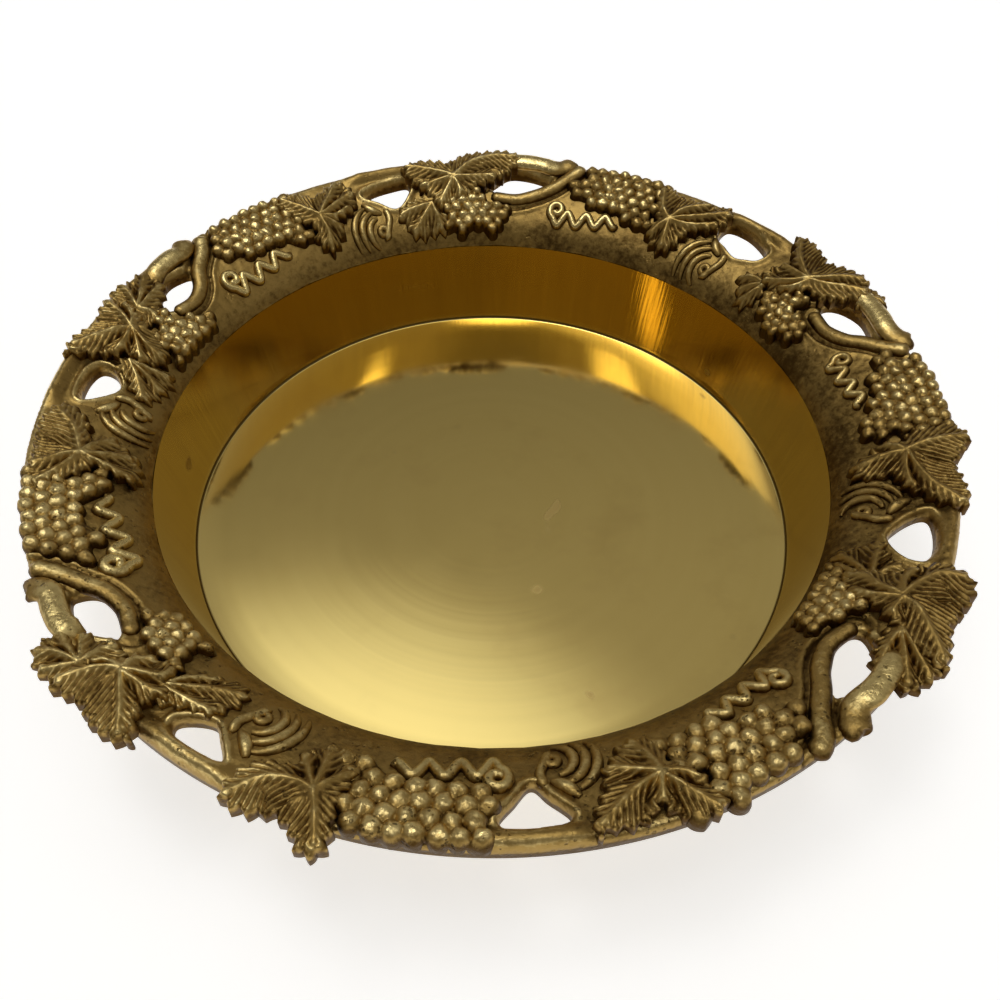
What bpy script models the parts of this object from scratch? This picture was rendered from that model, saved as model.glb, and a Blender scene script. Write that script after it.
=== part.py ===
"""A cast brass trinket dish: a turned pan inside a pierced border of leaves, grapes and vine.

Metres, +Z up. The origin is the middle of the flat underside. Angles run anticlockwise
from +X as seen from above, and the front of the dish faces -Y.
"""

import math

import bmesh
import bpy
from mathutils import Vector

# Pan
MOUTH_RADIUS = 0.082        # where the polished wall meets the border
FLOOR_RADIUS = 0.0766
BOWL_DEPTH = 0.0229
FLOOR_THICKNESS = 0.003
WALL_THICKNESS = 0.003
BASE_CHAMFER = 0.0012
RIM_WIDTH = 0.0035          # thick rim that the border is seated on
REGISTER_HEIGHT = 0.004

# Border band
BORDER_WIDTH = 0.0328       # from the mouth to the farthest leaf tip
BORDER_RISE = 0.0144
BAND_THICKNESS = 0.003
SKIRT_THICKNESS = 0.0025
SKIRT_DROP = 0.003
RAIL_HEIGHT = 0.0010
EDGE_THICKNESS = 0.0026
COVE_TURN = 12              # higher is a steeper start and a flatter end of the cove

# Applied ornament, heights above the band
LEAF_EDGE = 0.0022
LEAF_RIDGE = 0.0036
LEAF_VALLEY = 0.0020
TIP_DROP = 0.0012           # how far an overhanging tip reaches below the band's own line
BERRY_PITCH = 0.0038
BERRY_RISE = 0.0014
CREASE_METAL = 0.0004       # left between two berries where a bunch crosses the rail
BUNCH_MOUND = 0.0005
STEM_RADIUS = 0.0020
TWIG_RADIUS = 0.0025
TENDRIL_RADIUS = 0.0007
COIL_PITCH = 0.0019
CURL_RADIUS = 0.0017
WAVE_LENGTH = 0.0060
WAVE_SWING = 0.0011

# Fits and mesh
CLEARANCE = 0.0003
LEAF_GAP = 0.00045          # sideways room round a leaf, which its notches make narrower
OVERRUN = 0.010
SHARP_DEGREES = 35
SEGMENTS = 56
TWIG_SIDES = 6
ARCH_SIDES = 4
ARCH_RISE = 1.15            # height of a half-round rod for each unit of its half width
COIL_TURNS = 1.75
COIL_START_TURNS = 0.35
COIL_STEPS = 14
LOOP_DEGREES = 243
LOOP_START_DEGREES = -11
LOOP_STEPS = 6
WAVES = 2
WAVE_STEPS = 6

# Shares of the border's width and rise
BAND_EDGE_SHARE = 0.775
RAIL_START_SHARE = 0.64
COVE_RING_SHARES = (0.0, 0.04, 0.11, 0.24, 0.42, RAIL_START_SHARE)
RAIL_STEP_SHARES = (0.25, 0.5, 0.75, 1.0)
UNDERSIDE_RING_SHARES = (0.62, 0.36)
UNDERSIDE_OUT_SHARE = 0.55
UNDERSIDE_DOWN_SHARE = 0.85
TWIG_START_SHARE = 0.7
BERRY_CROWN_SHARE = 0.52
COIL_TAIL_SHARE = 0.7
COIL_TAIL_LIFT_SHARE = 0.1

# Where the ornament stands: degrees round the dish, share of the border's width and size
LARGE_LEAF_SHARES = (
    (31.2, 0.50, 0.86), (97.4, 0.50, 0.84), (163.0, 0.44, 0.88), (226.6, 0.60, 0.88),
    (327.0, 0.50, 0.97),
)
BACK_LEAF_SHARES = (
    (36.6, 0.23, 1.25), (102.6, 0.22, 1.25), (168.6, 0.225, 1.20), (231.9, 0.28, 1.25),
    (333.6, 0.23, 1.25),
)
SINGLE_LEAF_SHARES = (
    (57.5, 0.38, 0.92), (123.1, 0.36, 0.88), (189.8, 0.37, 0.85),
    (252.6, 0.56, 1.00), (288.4, 0.47, 1.00), (352.3, 0.43, 1.00),
)
SPIRAL_SHARES = (
    (47.5, 0.165), (112.3, 0.165), (178.3, 0.165), (243.0, 0.30), (280.2, 0.25), (344.3, 0.20),
)
CURL_SHARES = (
    (14.0, 0.30), (78.3, 0.26), (143.5, 0.25), (209.3, 0.30), (270.8, 0.34), (308.5, 0.27),
)

# Outlines as (degrees from the centre, share of the border's width from the centre).
# Each lobe has the middle of its rib first, then its edge, which starts at a notch.
LARGE_LEAF_LOBE_SHARES = (
    ((3.2, 0.22), ((6.0, 0.18), (6.9, 0.27), (6.4, 0.39), (5.2, 0.37), (3.3, 0.43),
                   (2.2, 0.38), (1.2, 0.42), (-0.3, 0.36), (-1.8, 0.40))),
    ((-3.6, 0.22), ((-2.8, 0.34), (-4.3, 0.42), (-5.2, 0.39), (-6.4, 0.45), (-7.4, 0.41),
                    (-8.3, 0.45))),
    ((-7.2, 0.20), ((-9.1, 0.37), (-10.2, 0.43), (-11.2, 0.35), (-12.4, 0.37), (-12.8, 0.26),
                    (-11.5, 0.21), (-11.7, 0.14), (-9.6, 0.10))),
    ((-3.8, 0.00), ((-8.0, 0.06), (-6.9, 0.00), (-6.3, -0.09), (-4.2, -0.10))),
    ((0.7, -0.14), ((-2.8, -0.04), (-1.6, -0.16), (-0.8, -0.25), (0.6, -0.28), (1.5, -0.30),
                    (2.2, -0.21), (3.3, -0.19))),
    ((3.7, 0.04), ((2.9, -0.10), (4.7, -0.09), (5.4, -0.03), (6.8, 0.01), (6.1, 0.07),
                   (6.9, 0.12))),
)
BACK_LEAF_LOBE_SHARES = (
    ((2.0, 0.02), ((1.6, 0.10), (3.6, 0.10), (4.5, 0.03), (4.2, -0.05), (2.6, -0.06))),
    ((0.2, -0.08), ((1.9, -0.08), (1.9, -0.14), (0.4, -0.17), (-1.3, -0.14))),
    ((-2.2, -0.06), ((-1.4, -0.08), (-2.8, -0.13), (-4.0, -0.08), (-3.4, -0.01))),
    ((0.0, 0.09), ((-2.4, 0.03), (-1.6, 0.14), (0.2, 0.17), (1.3, 0.15))),
)
SINGLE_LEAF_LOBE_SHARES = (
    ((2.0, 0.22), ((3.5, 0.19), (4.8, 0.25), (4.2, 0.35), (3.5, 0.42), (2.6, 0.39),
                   (1.3, 0.45), (0.0, 0.39), (-1.0, 0.38))),
    ((-4.0, 0.18), ((-2.2, 0.29), (-4.0, 0.33), (-6.2, 0.39), (-7.5, 0.34), (-8.7, 0.37),
                    (-9.3, 0.26))),
    ((-4.4, 0.00), ((-7.6, 0.14), (-8.5, 0.07), (-7.8, 0.00), (-7.0, -0.07))),
    ((-1.2, -0.17), ((-4.2, -0.09), (-4.4, -0.21), (-3.0, -0.27), (-1.4, -0.37), (0.6, -0.31),
                     (1.2, -0.22))),
    ((2.4, 0.05), ((2.2, -0.09), (3.7, -0.04), (4.5, 0.05))),
)

# Openings, as (degrees round the dish, share of the border's width)
OPENING_SHARES = (
    ((20.2, 0.65), (16.5, 0.61), (16.1, 0.58), (16.9, 0.50), (19.0, 0.40), (20.9, 0.375),
     (24.0, 0.41), (25.8, 0.48), (25.2, 0.56), (23.2, 0.62)),
    ((48.8, 0.63), (45.5, 0.655), (42.0, 0.61), (40.3, 0.55), (40.5, 0.45), (42.0, 0.40),
     (44.0, 0.37), (46.5, 0.41), (48.8, 0.47)),
    ((87.5, 0.65), (84.0, 0.64), (80.5, 0.58), (80.3, 0.52), (82.0, 0.45), (85.5, 0.37),
     (89.5, 0.41), (91.0, 0.48), (89.7, 0.56)),
    ((113.4, 0.51), (111.5, 0.57), (108.0, 0.60), (105.3, 0.60), (105.5, 0.48), (108.3, 0.33),
     (111.0, 0.41)),
    ((151.5, 0.57), (148.0, 0.54), (147.3, 0.49), (148.0, 0.41), (150.5, 0.33), (153.0, 0.32),
     (155.8, 0.39), (155.0, 0.49)),
    ((178.0, 0.53), (174.5, 0.56), (171.5, 0.52), (171.5, 0.41), (173.8, 0.33), (176.0, 0.37)),
    ((217.0, 0.65), (213.2, 0.62), (212.5, 0.57), (213.2, 0.46), (216.2, 0.395), (219.2, 0.43),
     (220.6, 0.49), (219.3, 0.58)),
    ((241.8, 0.64), (239.5, 0.66), (236.0, 0.66), (234.7, 0.60), (236.0, 0.52), (238.2, 0.475),
     (240.0, 0.54)),
    ((278.3, 0.60), (275.5, 0.64), (272.0, 0.64), (271.0, 0.59), (272.6, 0.48), (274.6, 0.37),
     (276.2, 0.46)),
    ((316.0, 0.65), (312.0, 0.62), (311.2, 0.56), (312.5, 0.45), (316.0, 0.36), (320.0, 0.39),
     (321.0, 0.46), (319.2, 0.57)),
    ((342.2, 0.60), (339.5, 0.64), (336.5, 0.64), (334.5, 0.58), (335.0, 0.46), (337.7, 0.36),
     (340.3, 0.42), (342.3, 0.53)),
)

# Grape bunches: outlines that the berries fill
BIG_BUNCH_SHARES = (
    ((11.8, 0.75), (11.2, 0.48), (7.0, 0.38), (2.0, 0.28), (-3.0, 0.26), (-3.6, 0.74),
     (1.0, 0.82), (6.0, 0.87)),
    ((76.2, 0.70), (75.8, 0.45), (71.0, 0.36), (65.0, 0.28), (61.0, 0.26), (61.0, 0.68),
     (66.0, 0.71), (71.0, 0.74)),
    ((141.2, 0.69), (141.0, 0.42), (136.0, 0.34), (130.0, 0.24), (126.0, 0.24), (126.0, 0.68),
     (131.0, 0.71), (136.0, 0.73)),
    ((207.2, 0.72), (208.0, 0.44), (204.0, 0.36), (198.0, 0.27), (192.0, 0.25), (192.0, 0.68),
     (198.0, 0.75), (203.0, 0.78)),
    ((269.8, 0.82), (270.8, 0.48), (266.0, 0.38), (260.0, 0.33), (253.0, 0.33), (253.0, 0.86),
     (259.0, 0.93), (265.0, 0.92)),
    ((304.5, 0.80), (306.2, 0.46), (302.0, 0.36), (297.0, 0.28), (290.0, 0.28), (290.0, 0.82),
     (296.0, 0.87), (300.0, 0.86)),
)
SMALL_BUNCH_SHARES = (
    ((33.0, 0.10), (33.0, 0.30), (29.0, 0.38), (24.6, 0.34), (23.6, 0.20), (24.4, 0.07)),
    ((100.0, 0.08), (100.0, 0.30), (95.0, 0.38), (89.2, 0.32), (87.6, 0.20), (89.0, 0.07)),
    ((163.5, 0.08), (163.0, 0.28), (158.0, 0.34), (153.6, 0.28), (152.4, 0.17), (154.0, 0.06)),
    ((228.0, 0.14), (228.0, 0.34), (224.0, 0.38), (221.0, 0.34), (220.0, 0.24), (221.0, 0.13)),
    ((331.0, 0.06), (331.0, 0.28), (325.0, 0.34), (320.2, 0.28), (318.6, 0.18), (320.0, 0.06)),
)

# Vine stems that curve under every second opening, and the cut twigs outside them
STEM_SHARES = (
    ((25.6, 0.335), (21.2, 0.30), (17.6, 0.37), (15.3, 0.49), (13.2, 0.58)),
    ((90.8, 0.335), (86.2, 0.29), (82.2, 0.36), (79.2, 0.48), (77.1, 0.58)),
    ((155.6, 0.28), (151.4, 0.25), (148.2, 0.32), (145.6, 0.46), (142.8, 0.58)),
    ((221.3, 0.375), (216.8, 0.32), (213.0, 0.37), (210.8, 0.49), (208.8, 0.58)),
    ((321.4, 0.35), (317.2, 0.28), (313.2, 0.34), (310.2, 0.47), (307.0, 0.58)),
)
TWIG_SHARES = (
    ((19.0, 0.71), (16.5, 0.70), (14.6, 0.74), (13.4, 0.80)),
    ((83.4, 0.70), (80.6, 0.69), (78.6, 0.73), (77.4, 0.79)),
    ((148.2, 0.68), (146.0, 0.68), (144.9, 0.71), (143.8, 0.76)),
    ((214.6, 0.71), (212.4, 0.70), (211.0, 0.74), (210.1, 0.80)),
    ((313.4, 0.71), (311.0, 0.70), (309.6, 0.75), (308.5, 0.81)),
)


def remove_startup_objects():
    for item in list(bpy.data.objects):
        bpy.data.objects.remove(item, do_unlink=True)


def band_height(radius):
    """Height of the cove and band at a radius, without the rail along the edge."""
    share = (radius - MOUTH_RADIUS) / BORDER_WIDTH
    curve = math.log1p(COVE_TURN * share) / math.log1p(COVE_TURN)
    return FLOOR_THICKNESS + BOWL_DEPTH + BORDER_RISE * curve


def plan_point(degrees, share):
    """Plan position from an angle round the dish and a share of the border's width."""
    angle = math.radians(degrees)
    radius = MOUTH_RADIUS + BORDER_WIDTH * share
    return Vector((radius * math.cos(angle), radius * math.sin(angle)))


def on_band(plan, lift):
    return Vector((plan.x, plan.y, band_height(plan.length) + lift))


def brass(name, colour, roughness):
    material = bpy.data.materials.new(name)
    material.use_nodes = True
    shader = material.node_tree.nodes["Principled BSDF"]
    shader.inputs["Base Color"].default_value = (*colour, 1)
    shader.inputs["Metallic"].default_value = 1
    shader.inputs["Roughness"].default_value = roughness
    return material


def new_piece(name, mesh, material=None):
    piece = bpy.data.objects.new(name, mesh)
    bpy.context.scene.collection.objects.link(piece)
    if material is not None:
        mesh.materials.append(material)
    smooth_round_faces(mesh)
    return piece


def smooth_round_faces(mesh):
    mesh.shade_smooth()
    mesh.set_sharp_from_angle(angle=math.radians(SHARP_DEGREES))


def finished_mesh(name, work):
    """Closes a bmesh into a mesh whose faces point outwards."""
    bmesh.ops.recalc_face_normals(work, faces=work.faces)
    mesh = bpy.data.meshes.new(name)
    work.to_mesh(mesh)
    work.free()
    return mesh


def turned_mesh(name, profile):
    """Spins a closed profile of (radius, height) points round the axis of the dish."""
    work = bmesh.new()
    corners = [work.verts.new((radius, 0, height)) for radius, height in profile]
    pairs = list(zip(corners, corners[1:]))
    if profile[0][0] > 0:
        pairs.append((corners[-1], corners[0]))
    edges = [work.edges.new(pair) for pair in pairs]
    bmesh.ops.spin(
        work, geom=corners + edges, axis=(0, 0, 1), cent=(0, 0, 0),
        angle=2 * math.pi, steps=SEGMENTS, use_merge=True,
    )
    bmesh.ops.remove_doubles(work, verts=work.verts, dist=CLEARANCE / 100)
    return finished_mesh(name, work)


def cut(piece, cutter):
    """Subtracts the cutter and keeps the largest body that is left."""
    modifier = piece.modifiers.new("cut", "BOOLEAN")
    modifier.operation = "DIFFERENCE"
    modifier.solver = "EXACT"
    modifier.object = cutter
    graph = bpy.context.evaluated_depsgraph_get()
    mesh = bpy.data.meshes.new_from_object(piece.evaluated_get(graph))
    piece.modifiers.clear()
    old = piece.data
    piece.data = mesh
    bpy.data.meshes.remove(old)
    mesh.name = piece.name
    keep_largest_body(mesh)
    smooth_round_faces(mesh)


def keep_largest_body(mesh):
    work = bmesh.new()
    work.from_mesh(mesh)
    unseen = set(work.verts)
    bodies = []
    while unseen:
        body = {unseen.pop()}
        edge_of_body = list(body)
        while edge_of_body:
            vert = edge_of_body.pop()
            near = {e.other_vert(vert) for e in vert.link_edges} & unseen
            unseen -= near
            body |= near
            edge_of_body.extend(near)
        bodies.append(body)
    bodies.sort(key=len)
    for body in bodies[:-1]:
        bmesh.ops.delete(work, geom=list(body), context="VERTS")
    work.to_mesh(mesh)
    work.free()


def hide_cutter(cutter):
    cutter.hide_render = True
    cutter.display_type = "WIRE"


def smooth_loop(points, steps):
    """Closed curve through plan points, with a few steps between each two."""
    count = len(points)
    curve = []
    for i in range(count):
        before, start, end, after = (points[(i + k) % count] for k in (-1, 0, 1, 2))
        for k in range(steps):
            curve.append(curve_point(before, start, end, after, k / steps))
    return curve


def smooth_path(points, steps):
    """Open curve through plan points."""
    padded = [2 * points[0] - points[1], *points, 2 * points[-1] - points[-2]]
    curve = []
    for i in range(1, len(padded) - 2):
        for k in range(steps):
            curve.append(curve_point(*padded[i - 1:i + 3], k / steps))
    curve.append(points[-1])
    return curve


def curve_point(before, start, end, after, t):
    """Catmull-Rom curve between start and end."""
    return 0.5 * (
        2 * start + (end - before) * t
        + (2 * before - 5 * start + 4 * end - after) * t ** 2
        + (3 * start - before - 3 * end + after) * t ** 3
    )


def distance_to_line(point, line):
    """Shortest plan distance from a point to a polyline."""
    best = (point - line[0]).length
    for start, end in zip(line, line[1:]):
        run = end - start
        share = max(0, min(1, (point - start).dot(run) / run.length_squared))
        best = min(best, (point - start - run * share).length)
    return best


def inside(point, outline):
    crossings = 0
    for a, b in zip(outline, outline[1:] + outline[:1]):
        if (a.y > point.y) != (b.y > point.y):
            if point.x < a.x + (point.y - a.y) / (b.y - a.y) * (b.x - a.x):
                crossings += 1
    return crossings % 2 == 1


def grown(outline, distance):
    """Outline moved outwards by a distance, along the mean normal of each corner."""
    turning = sum(a.x * b.y - b.x * a.y for a, b in zip(outline, outline[1:] + outline[:1]))
    sign = 1 if turning > 0 else -1
    moved = []
    for i, point in enumerate(outline):
        before = (point - outline[i - 1]).normalized()
        after = (outline[(i + 1) % len(outline)] - point).normalized()
        run = before + after
        if run.length < 1 / 4:
            run = after
        normal = Vector((run.y, -run.x)).normalized() * sign
        moved.append(point + normal * distance)
    return moved


def prism(name, outline):
    """Upright cutter over a plan outline."""
    work = bmesh.new()
    bottom = [work.verts.new((point.x, point.y, -OVERRUN)) for point in outline]
    top_height = FLOOR_THICKNESS + BOWL_DEPTH + BORDER_RISE + OVERRUN
    face = work.faces.new(bottom)
    made = bmesh.ops.extrude_face_region(work, geom=[face])
    for item in made["geom"]:
        if isinstance(item, bmesh.types.BMVert):
            item.co.z = top_height
    return finished_mesh(name, work)


def joined_cutter(name, meshes):
    work = bmesh.new()
    for mesh in meshes:
        work.from_mesh(mesh)
        bpy.data.meshes.remove(mesh)
    mesh = bpy.data.meshes.new(name)
    work.to_mesh(mesh)
    work.free()
    cutter = new_piece(name, mesh)
    hide_cutter(cutter)
    return cutter


def make_pan():
    """Turned pan: flat floor, drafted wall and a thick rim with a bevelled seat."""
    mouth = FLOOR_THICKNESS + BOWL_DEPTH
    draft = (MOUTH_RADIUS - FLOOR_RADIUS) / BOWL_DEPTH
    register_low = mouth - RIM_WIDTH - REGISTER_HEIGHT
    ledge = register_low - RIM_WIDTH
    base_radius = FLOOR_RADIUS + WALL_THICKNESS - draft * FLOOR_THICKNESS
    profile = [
        (0, 0),
        (base_radius - BASE_CHAMFER, 0),
        (base_radius, BASE_CHAMFER),
        (MOUTH_RADIUS + WALL_THICKNESS - draft * (mouth - ledge), ledge),
        (MOUTH_RADIUS + RIM_WIDTH, register_low),
        (MOUTH_RADIUS + RIM_WIDTH, mouth - RIM_WIDTH),
        (MOUTH_RADIUS, mouth),
        (FLOOR_RADIUS, FLOOR_THICKNESS),
        (0, FLOOR_THICKNESS),
    ]
    mesh = turned_mesh("bowl_pan", profile)
    return new_piece("bowl_pan", mesh, brass("polished_brass", (0.80, 0.62, 0.22), 0.18))


def band_top():
    """Top of the border as (radius, height): the cove, the band and the round rail."""
    points = []
    for share in COVE_RING_SHARES:
        radius = MOUTH_RADIUS + BORDER_WIDTH * share
        points.append((radius, band_height(radius)))
    for step in RAIL_STEP_SHARES:
        share = RAIL_START_SHARE + (BAND_EDGE_SHARE - RAIL_START_SHARE) * step
        radius = MOUTH_RADIUS + BORDER_WIDTH * share
        lift = RAIL_HEIGHT * math.sin(math.pi * step)
        points.append((radius, band_height(radius) + lift))
    return points


def make_band():
    """Border casting: cove, band and rail, seated on the pan's rim and pierced."""
    mouth = FLOOR_THICKNESS + BOWL_DEPTH
    side_gap = CLEARANCE * math.sqrt(2)
    top = band_top()
    top[0] = (MOUTH_RADIUS + side_gap, mouth)
    edge_radius, edge_height = top[-1]
    under = [(edge_radius, edge_height - EDGE_THICKNESS)]
    for share in UNDERSIDE_RING_SHARES:
        radius = MOUTH_RADIUS + BORDER_WIDTH * share
        under.append((
            radius + BAND_THICKNESS * UNDERSIDE_OUT_SHARE,
            band_height(radius) - BAND_THICKNESS * UNDERSIDE_DOWN_SHARE,
        ))
    bore = MOUTH_RADIUS + RIM_WIDTH + CLEARANCE
    skirt_radius = bore + SKIRT_THICKNESS
    skirt_low = mouth - RIM_WIDTH - SKIRT_DROP
    inner = skirt_radius - BAND_THICKNESS * UNDERSIDE_OUT_SHARE
    skirt = [
        (skirt_radius, band_height(inner) - BAND_THICKNESS * UNDERSIDE_DOWN_SHARE),
        (skirt_radius, skirt_low),
        (bore, skirt_low),
        (bore, mouth - RIM_WIDTH - CLEARANCE + side_gap),
    ]
    band = new_piece(
        "border_band", turned_mesh("border_band", top + under + skirt),
        brass("cast_brass", (0.45, 0.33, 0.13), 0.42),
    )
    meshes = []
    for number, corners in enumerate(OPENING_SHARES):
        outline = smooth_loop([plan_point(*corner) for corner in corners], 2)
        meshes.append(prism(f"opening_{number + 1}", outline))
    openings = joined_cutter("opening_cutter", meshes)
    cut(band, openings)


def make_seat_cutter():
    """The band's top with the clearance, which shapes the underside of every ornament."""
    profile = [(radius, height + CLEARANCE) for radius, height in band_top()]
    edge_radius, edge_height = profile[-1]
    far = MOUTH_RADIUS + BORDER_WIDTH + OVERRUN
    profile.append((edge_radius + CLEARANCE, edge_height))
    profile.append((edge_radius + CLEARANCE, band_height(edge_radius) - TIP_DROP))
    profile.append((far, band_height(far) - TIP_DROP))
    profile.append((far, -OVERRUN))
    profile.append((MOUTH_RADIUS - CLEARANCE, -OVERRUN))
    profile.append((MOUTH_RADIUS - CLEARANCE, profile[0][1]))
    cutter = new_piece("seat_cutter", turned_mesh("seat_cutter", profile))
    hide_cutter(cutter)
    return cutter


def leaf_outline(centre, lobes, size):
    """Plan outline of a leaf, one list of points for each lobe."""
    degrees, share = centre
    return [
        [plan_point(degrees + d * size, share + s * size) for d, s in edge]
        for rib, edge in lobes
    ]


def make_leaf(name, centre, lobes, size, seat, material):
    """Lobed leaf with a raised rib along each lobe and a notched edge."""
    degrees, share = centre
    edges = leaf_outline(centre, lobes, size)
    ribs = [plan_point(degrees + d * size, share + s * size) for (d, s), edge in lobes]
    heart = plan_point(degrees, share)
    work = bmesh.new()

    def sheet(lifts):
        ring = []
        for edge in edges:
            ring.append([
                work.verts.new(on_band(point, lifts["valley"] if k == 0 else lifts["edge"]))
                for k, point in enumerate(edge)
            ])
        middle = work.verts.new(on_band(heart, lifts["heart"]))
        tops = [work.verts.new(on_band(rib, lifts["ridge"])) for rib in ribs]
        for i, lobe in enumerate(ring):
            line = lobe + [ring[(i + 1) % len(ring)][0]]
            for a, b in zip(line, line[1:]):
                work.faces.new((tops[i], a, b))
            work.faces.new((middle, line[0], tops[i]))
            work.faces.new((middle, tops[i], line[-1]))
        return [vert for lobe in ring for vert in lobe]

    low = -TIP_DROP - BAND_THICKNESS
    upper = sheet({
        "valley": LEAF_VALLEY, "edge": LEAF_EDGE, "ridge": LEAF_RIDGE,
        "heart": (LEAF_EDGE + LEAF_RIDGE) / 2,
    })
    lower = sheet({"valley": low, "edge": low, "ridge": low, "heart": low})
    for i in range(len(upper)):
        j = (i + 1) % len(upper)
        work.faces.new((upper[i], upper[j], lower[j], lower[i]))
    leaf = new_piece(name, finished_mesh(name, work), material)
    cut(leaf, seat)
    return leaf


def berry_cells(outline, leaves, rods):
    """Centres of the honeycomb cells that fill an outline, clear of leaves and rods."""
    middle = sum(outline, Vector((0, 0))) / len(outline)
    radial = middle.normalized()
    along = Vector((radial.y, -radial.x))
    row_pitch = BERRY_PITCH * math.sqrt(3) / 2
    reach = BERRY_PITCH / math.sqrt(3) + CLEARANCE
    rows = math.ceil(BORDER_WIDTH / row_pitch)
    cells = []
    for row in range(-rows, rows + 1):
        for column in range(-rows, rows + 1):
            shift = (column + (row % 2) / 2) * BERRY_PITCH
            spot = middle + along * shift + radial * row * row_pitch
            hidden = any(inside(spot, leaf) for leaf in leaves)
            close = any(distance_to_line(spot, line) < reach + radius for line, radius in rods)
            if inside(spot, outline) and not hidden and not close:
                cells.append(spot)
    return cells, middle, radial, along


def make_bunch(name, outline, leaves, rods, cutters, material):
    """Bunch of grapes: one domed cell for each berry, joined at the creases."""
    cells, middle, radial, along = berry_cells(outline, leaves, rods)
    spread = max((spot - middle).length for spot in cells)
    corner_reach = BERRY_PITCH / math.sqrt(3)
    work = bmesh.new()
    shared = {}

    def mound(spot):
        share = min(1, (spot - middle).length / spread)
        return RAIL_HEIGHT + CLEARANCE + CREASE_METAL + BUNCH_MOUND * (1 - share ** 2)

    def corner(spot):
        key = (round(spot.x / CLEARANCE), round(spot.y / CLEARANCE))
        for dx in (-1, 0, 1):
            for dy in (-1, 0, 1):
                if (key[0] + dx, key[1] + dy) in shared:
                    return shared[(key[0] + dx, key[1] + dy)]
        shared[key] = work.verts.new(on_band(spot, mound(spot)))
        return shared[key]

    for spot in cells:
        turns = [math.radians(30 + 60 * k) for k in range(6)]
        outward = [along * math.cos(turn) + radial * math.sin(turn) for turn in turns]
        outer = [corner(spot + way * corner_reach) for way in outward]
        lift = mound(spot) + BERRY_RISE
        inner = [
            work.verts.new(on_band(spot + way * corner_reach * BERRY_CROWN_SHARE, lift)) for way in outward
        ]
        crown = work.verts.new(on_band(spot, lift + BERRY_RISE / 4))
        for k in range(6):
            j = (k + 1) % 6
            work.faces.new((outer[k], outer[j], inner[j], inner[k]))
            work.faces.new((inner[k], inner[j], crown))
    open_edges = [edge for edge in work.edges if edge.is_boundary]
    made = bmesh.ops.extrude_edge_only(work, edges=open_edges)
    skirt = [item for item in made["geom"] if isinstance(item, bmesh.types.BMVert)]
    for vert in skirt:
        vert.co.z = FLOOR_THICKNESS
    rim = [edge for edge in work.edges if edge.is_boundary]
    bmesh.ops.holes_fill(work, edges=rim, sides=0)
    bunch = new_piece(name, finished_mesh(name, work), material)
    for cutter in cutters:
        cut(bunch, cutter)
    return bunch


def make_rod(name, rings, material):
    """Closed rod through a list of rings that have the same number of points."""
    work = bmesh.new()
    loops = [[work.verts.new(point) for point in ring] for ring in rings]
    for first, second in zip(loops, loops[1:]):
        for k in range(len(first)):
            j = (k + 1) % len(first)
            work.faces.new((first[k], first[j], second[j], second[k]))
    work.faces.new(loops[0])
    work.faces.new(loops[-1])
    return new_piece(name, finished_mesh(name, work), material)


def round_rings(path, radii, lift):
    """Rings of a round rod that runs along a plan path at a height above the band."""
    spine = [on_band(point, lift) for point in path]
    rings = []
    for i, point in enumerate(spine):
        ahead = spine[min(i + 1, len(spine) - 1)] - spine[max(i - 1, 0)]
        side = ahead.cross(Vector((0, 0, 1))).normalized()
        above = side.cross(ahead).normalized()
        turns = [2 * math.pi * (k + 1 / 2) / TWIG_SIDES for k in range(TWIG_SIDES)]
        rings.append([
            point + (side * math.cos(turn) + above * math.sin(turn)) * radii[i]
            for turn in turns
        ])
    return rings


def arched_rings(path, radius):
    """Rings of a half-round rod that lies on the band with the clearance below it."""
    rings = []
    for i, point in enumerate(path):
        ahead = path[min(i + 1, len(path) - 1)] - path[max(i - 1, 0)]
        side = Vector((ahead.y, -ahead.x)).normalized()
        turns = [math.pi * k / ARCH_SIDES for k in range(ARCH_SIDES + 1)]
        rings.append([
            on_band(point + side * radius * math.cos(turn), CLEARANCE)
            + Vector((0, 0, ARCH_RISE * radius * math.sin(turn)))
            for turn in turns
        ])
    return rings


def local_axes(degrees, share):
    """Centre, clockwise direction and outward direction at a place on the border."""
    centre = plan_point(degrees, share)
    radial = centre.normalized()
    return centre, Vector((radial.y, -radial.x)), radial


def spiral_path(degrees, share):
    """Flat coil whose tail runs back towards the leaf."""
    centre, along, radial = local_axes(degrees, share)
    path = []
    for step in range(COIL_STEPS + 1):
        turns = COIL_TURNS * step / COIL_STEPS
        angle = 2 * math.pi * turns
        way = -along * math.cos(angle) - radial * math.sin(angle)
        path.append(centre + way * COIL_PITCH * (turns + COIL_START_TURNS))
    end = path[-1]
    tail = (radial * COIL_TAIL_LIFT_SHARE - along * COIL_TAIL_SHARE) * COIL_PITCH
    for step in (1, 2, 3):
        path.append(end + tail * step)
    return path


def curl_path(degrees, share):
    """Small loop that runs on into waves under the bunch."""
    centre, along, radial = local_axes(degrees, share)
    path = []
    for step in range(LOOP_STEPS + 1):
        angle = math.radians(LOOP_START_DEGREES + LOOP_DEGREES * step / LOOP_STEPS)
        path.append(centre + (along * math.cos(angle) + radial * math.sin(angle)) * CURL_RADIUS)
    start = path[-1]
    for step in range(1, WAVES * WAVE_STEPS + 1):
        run = WAVE_LENGTH * step / WAVE_STEPS
        swing = WAVE_SWING * math.sin(2 * math.pi * run / WAVE_LENGTH)
        path.append(start + along * run - radial * swing)
    return path


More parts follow.
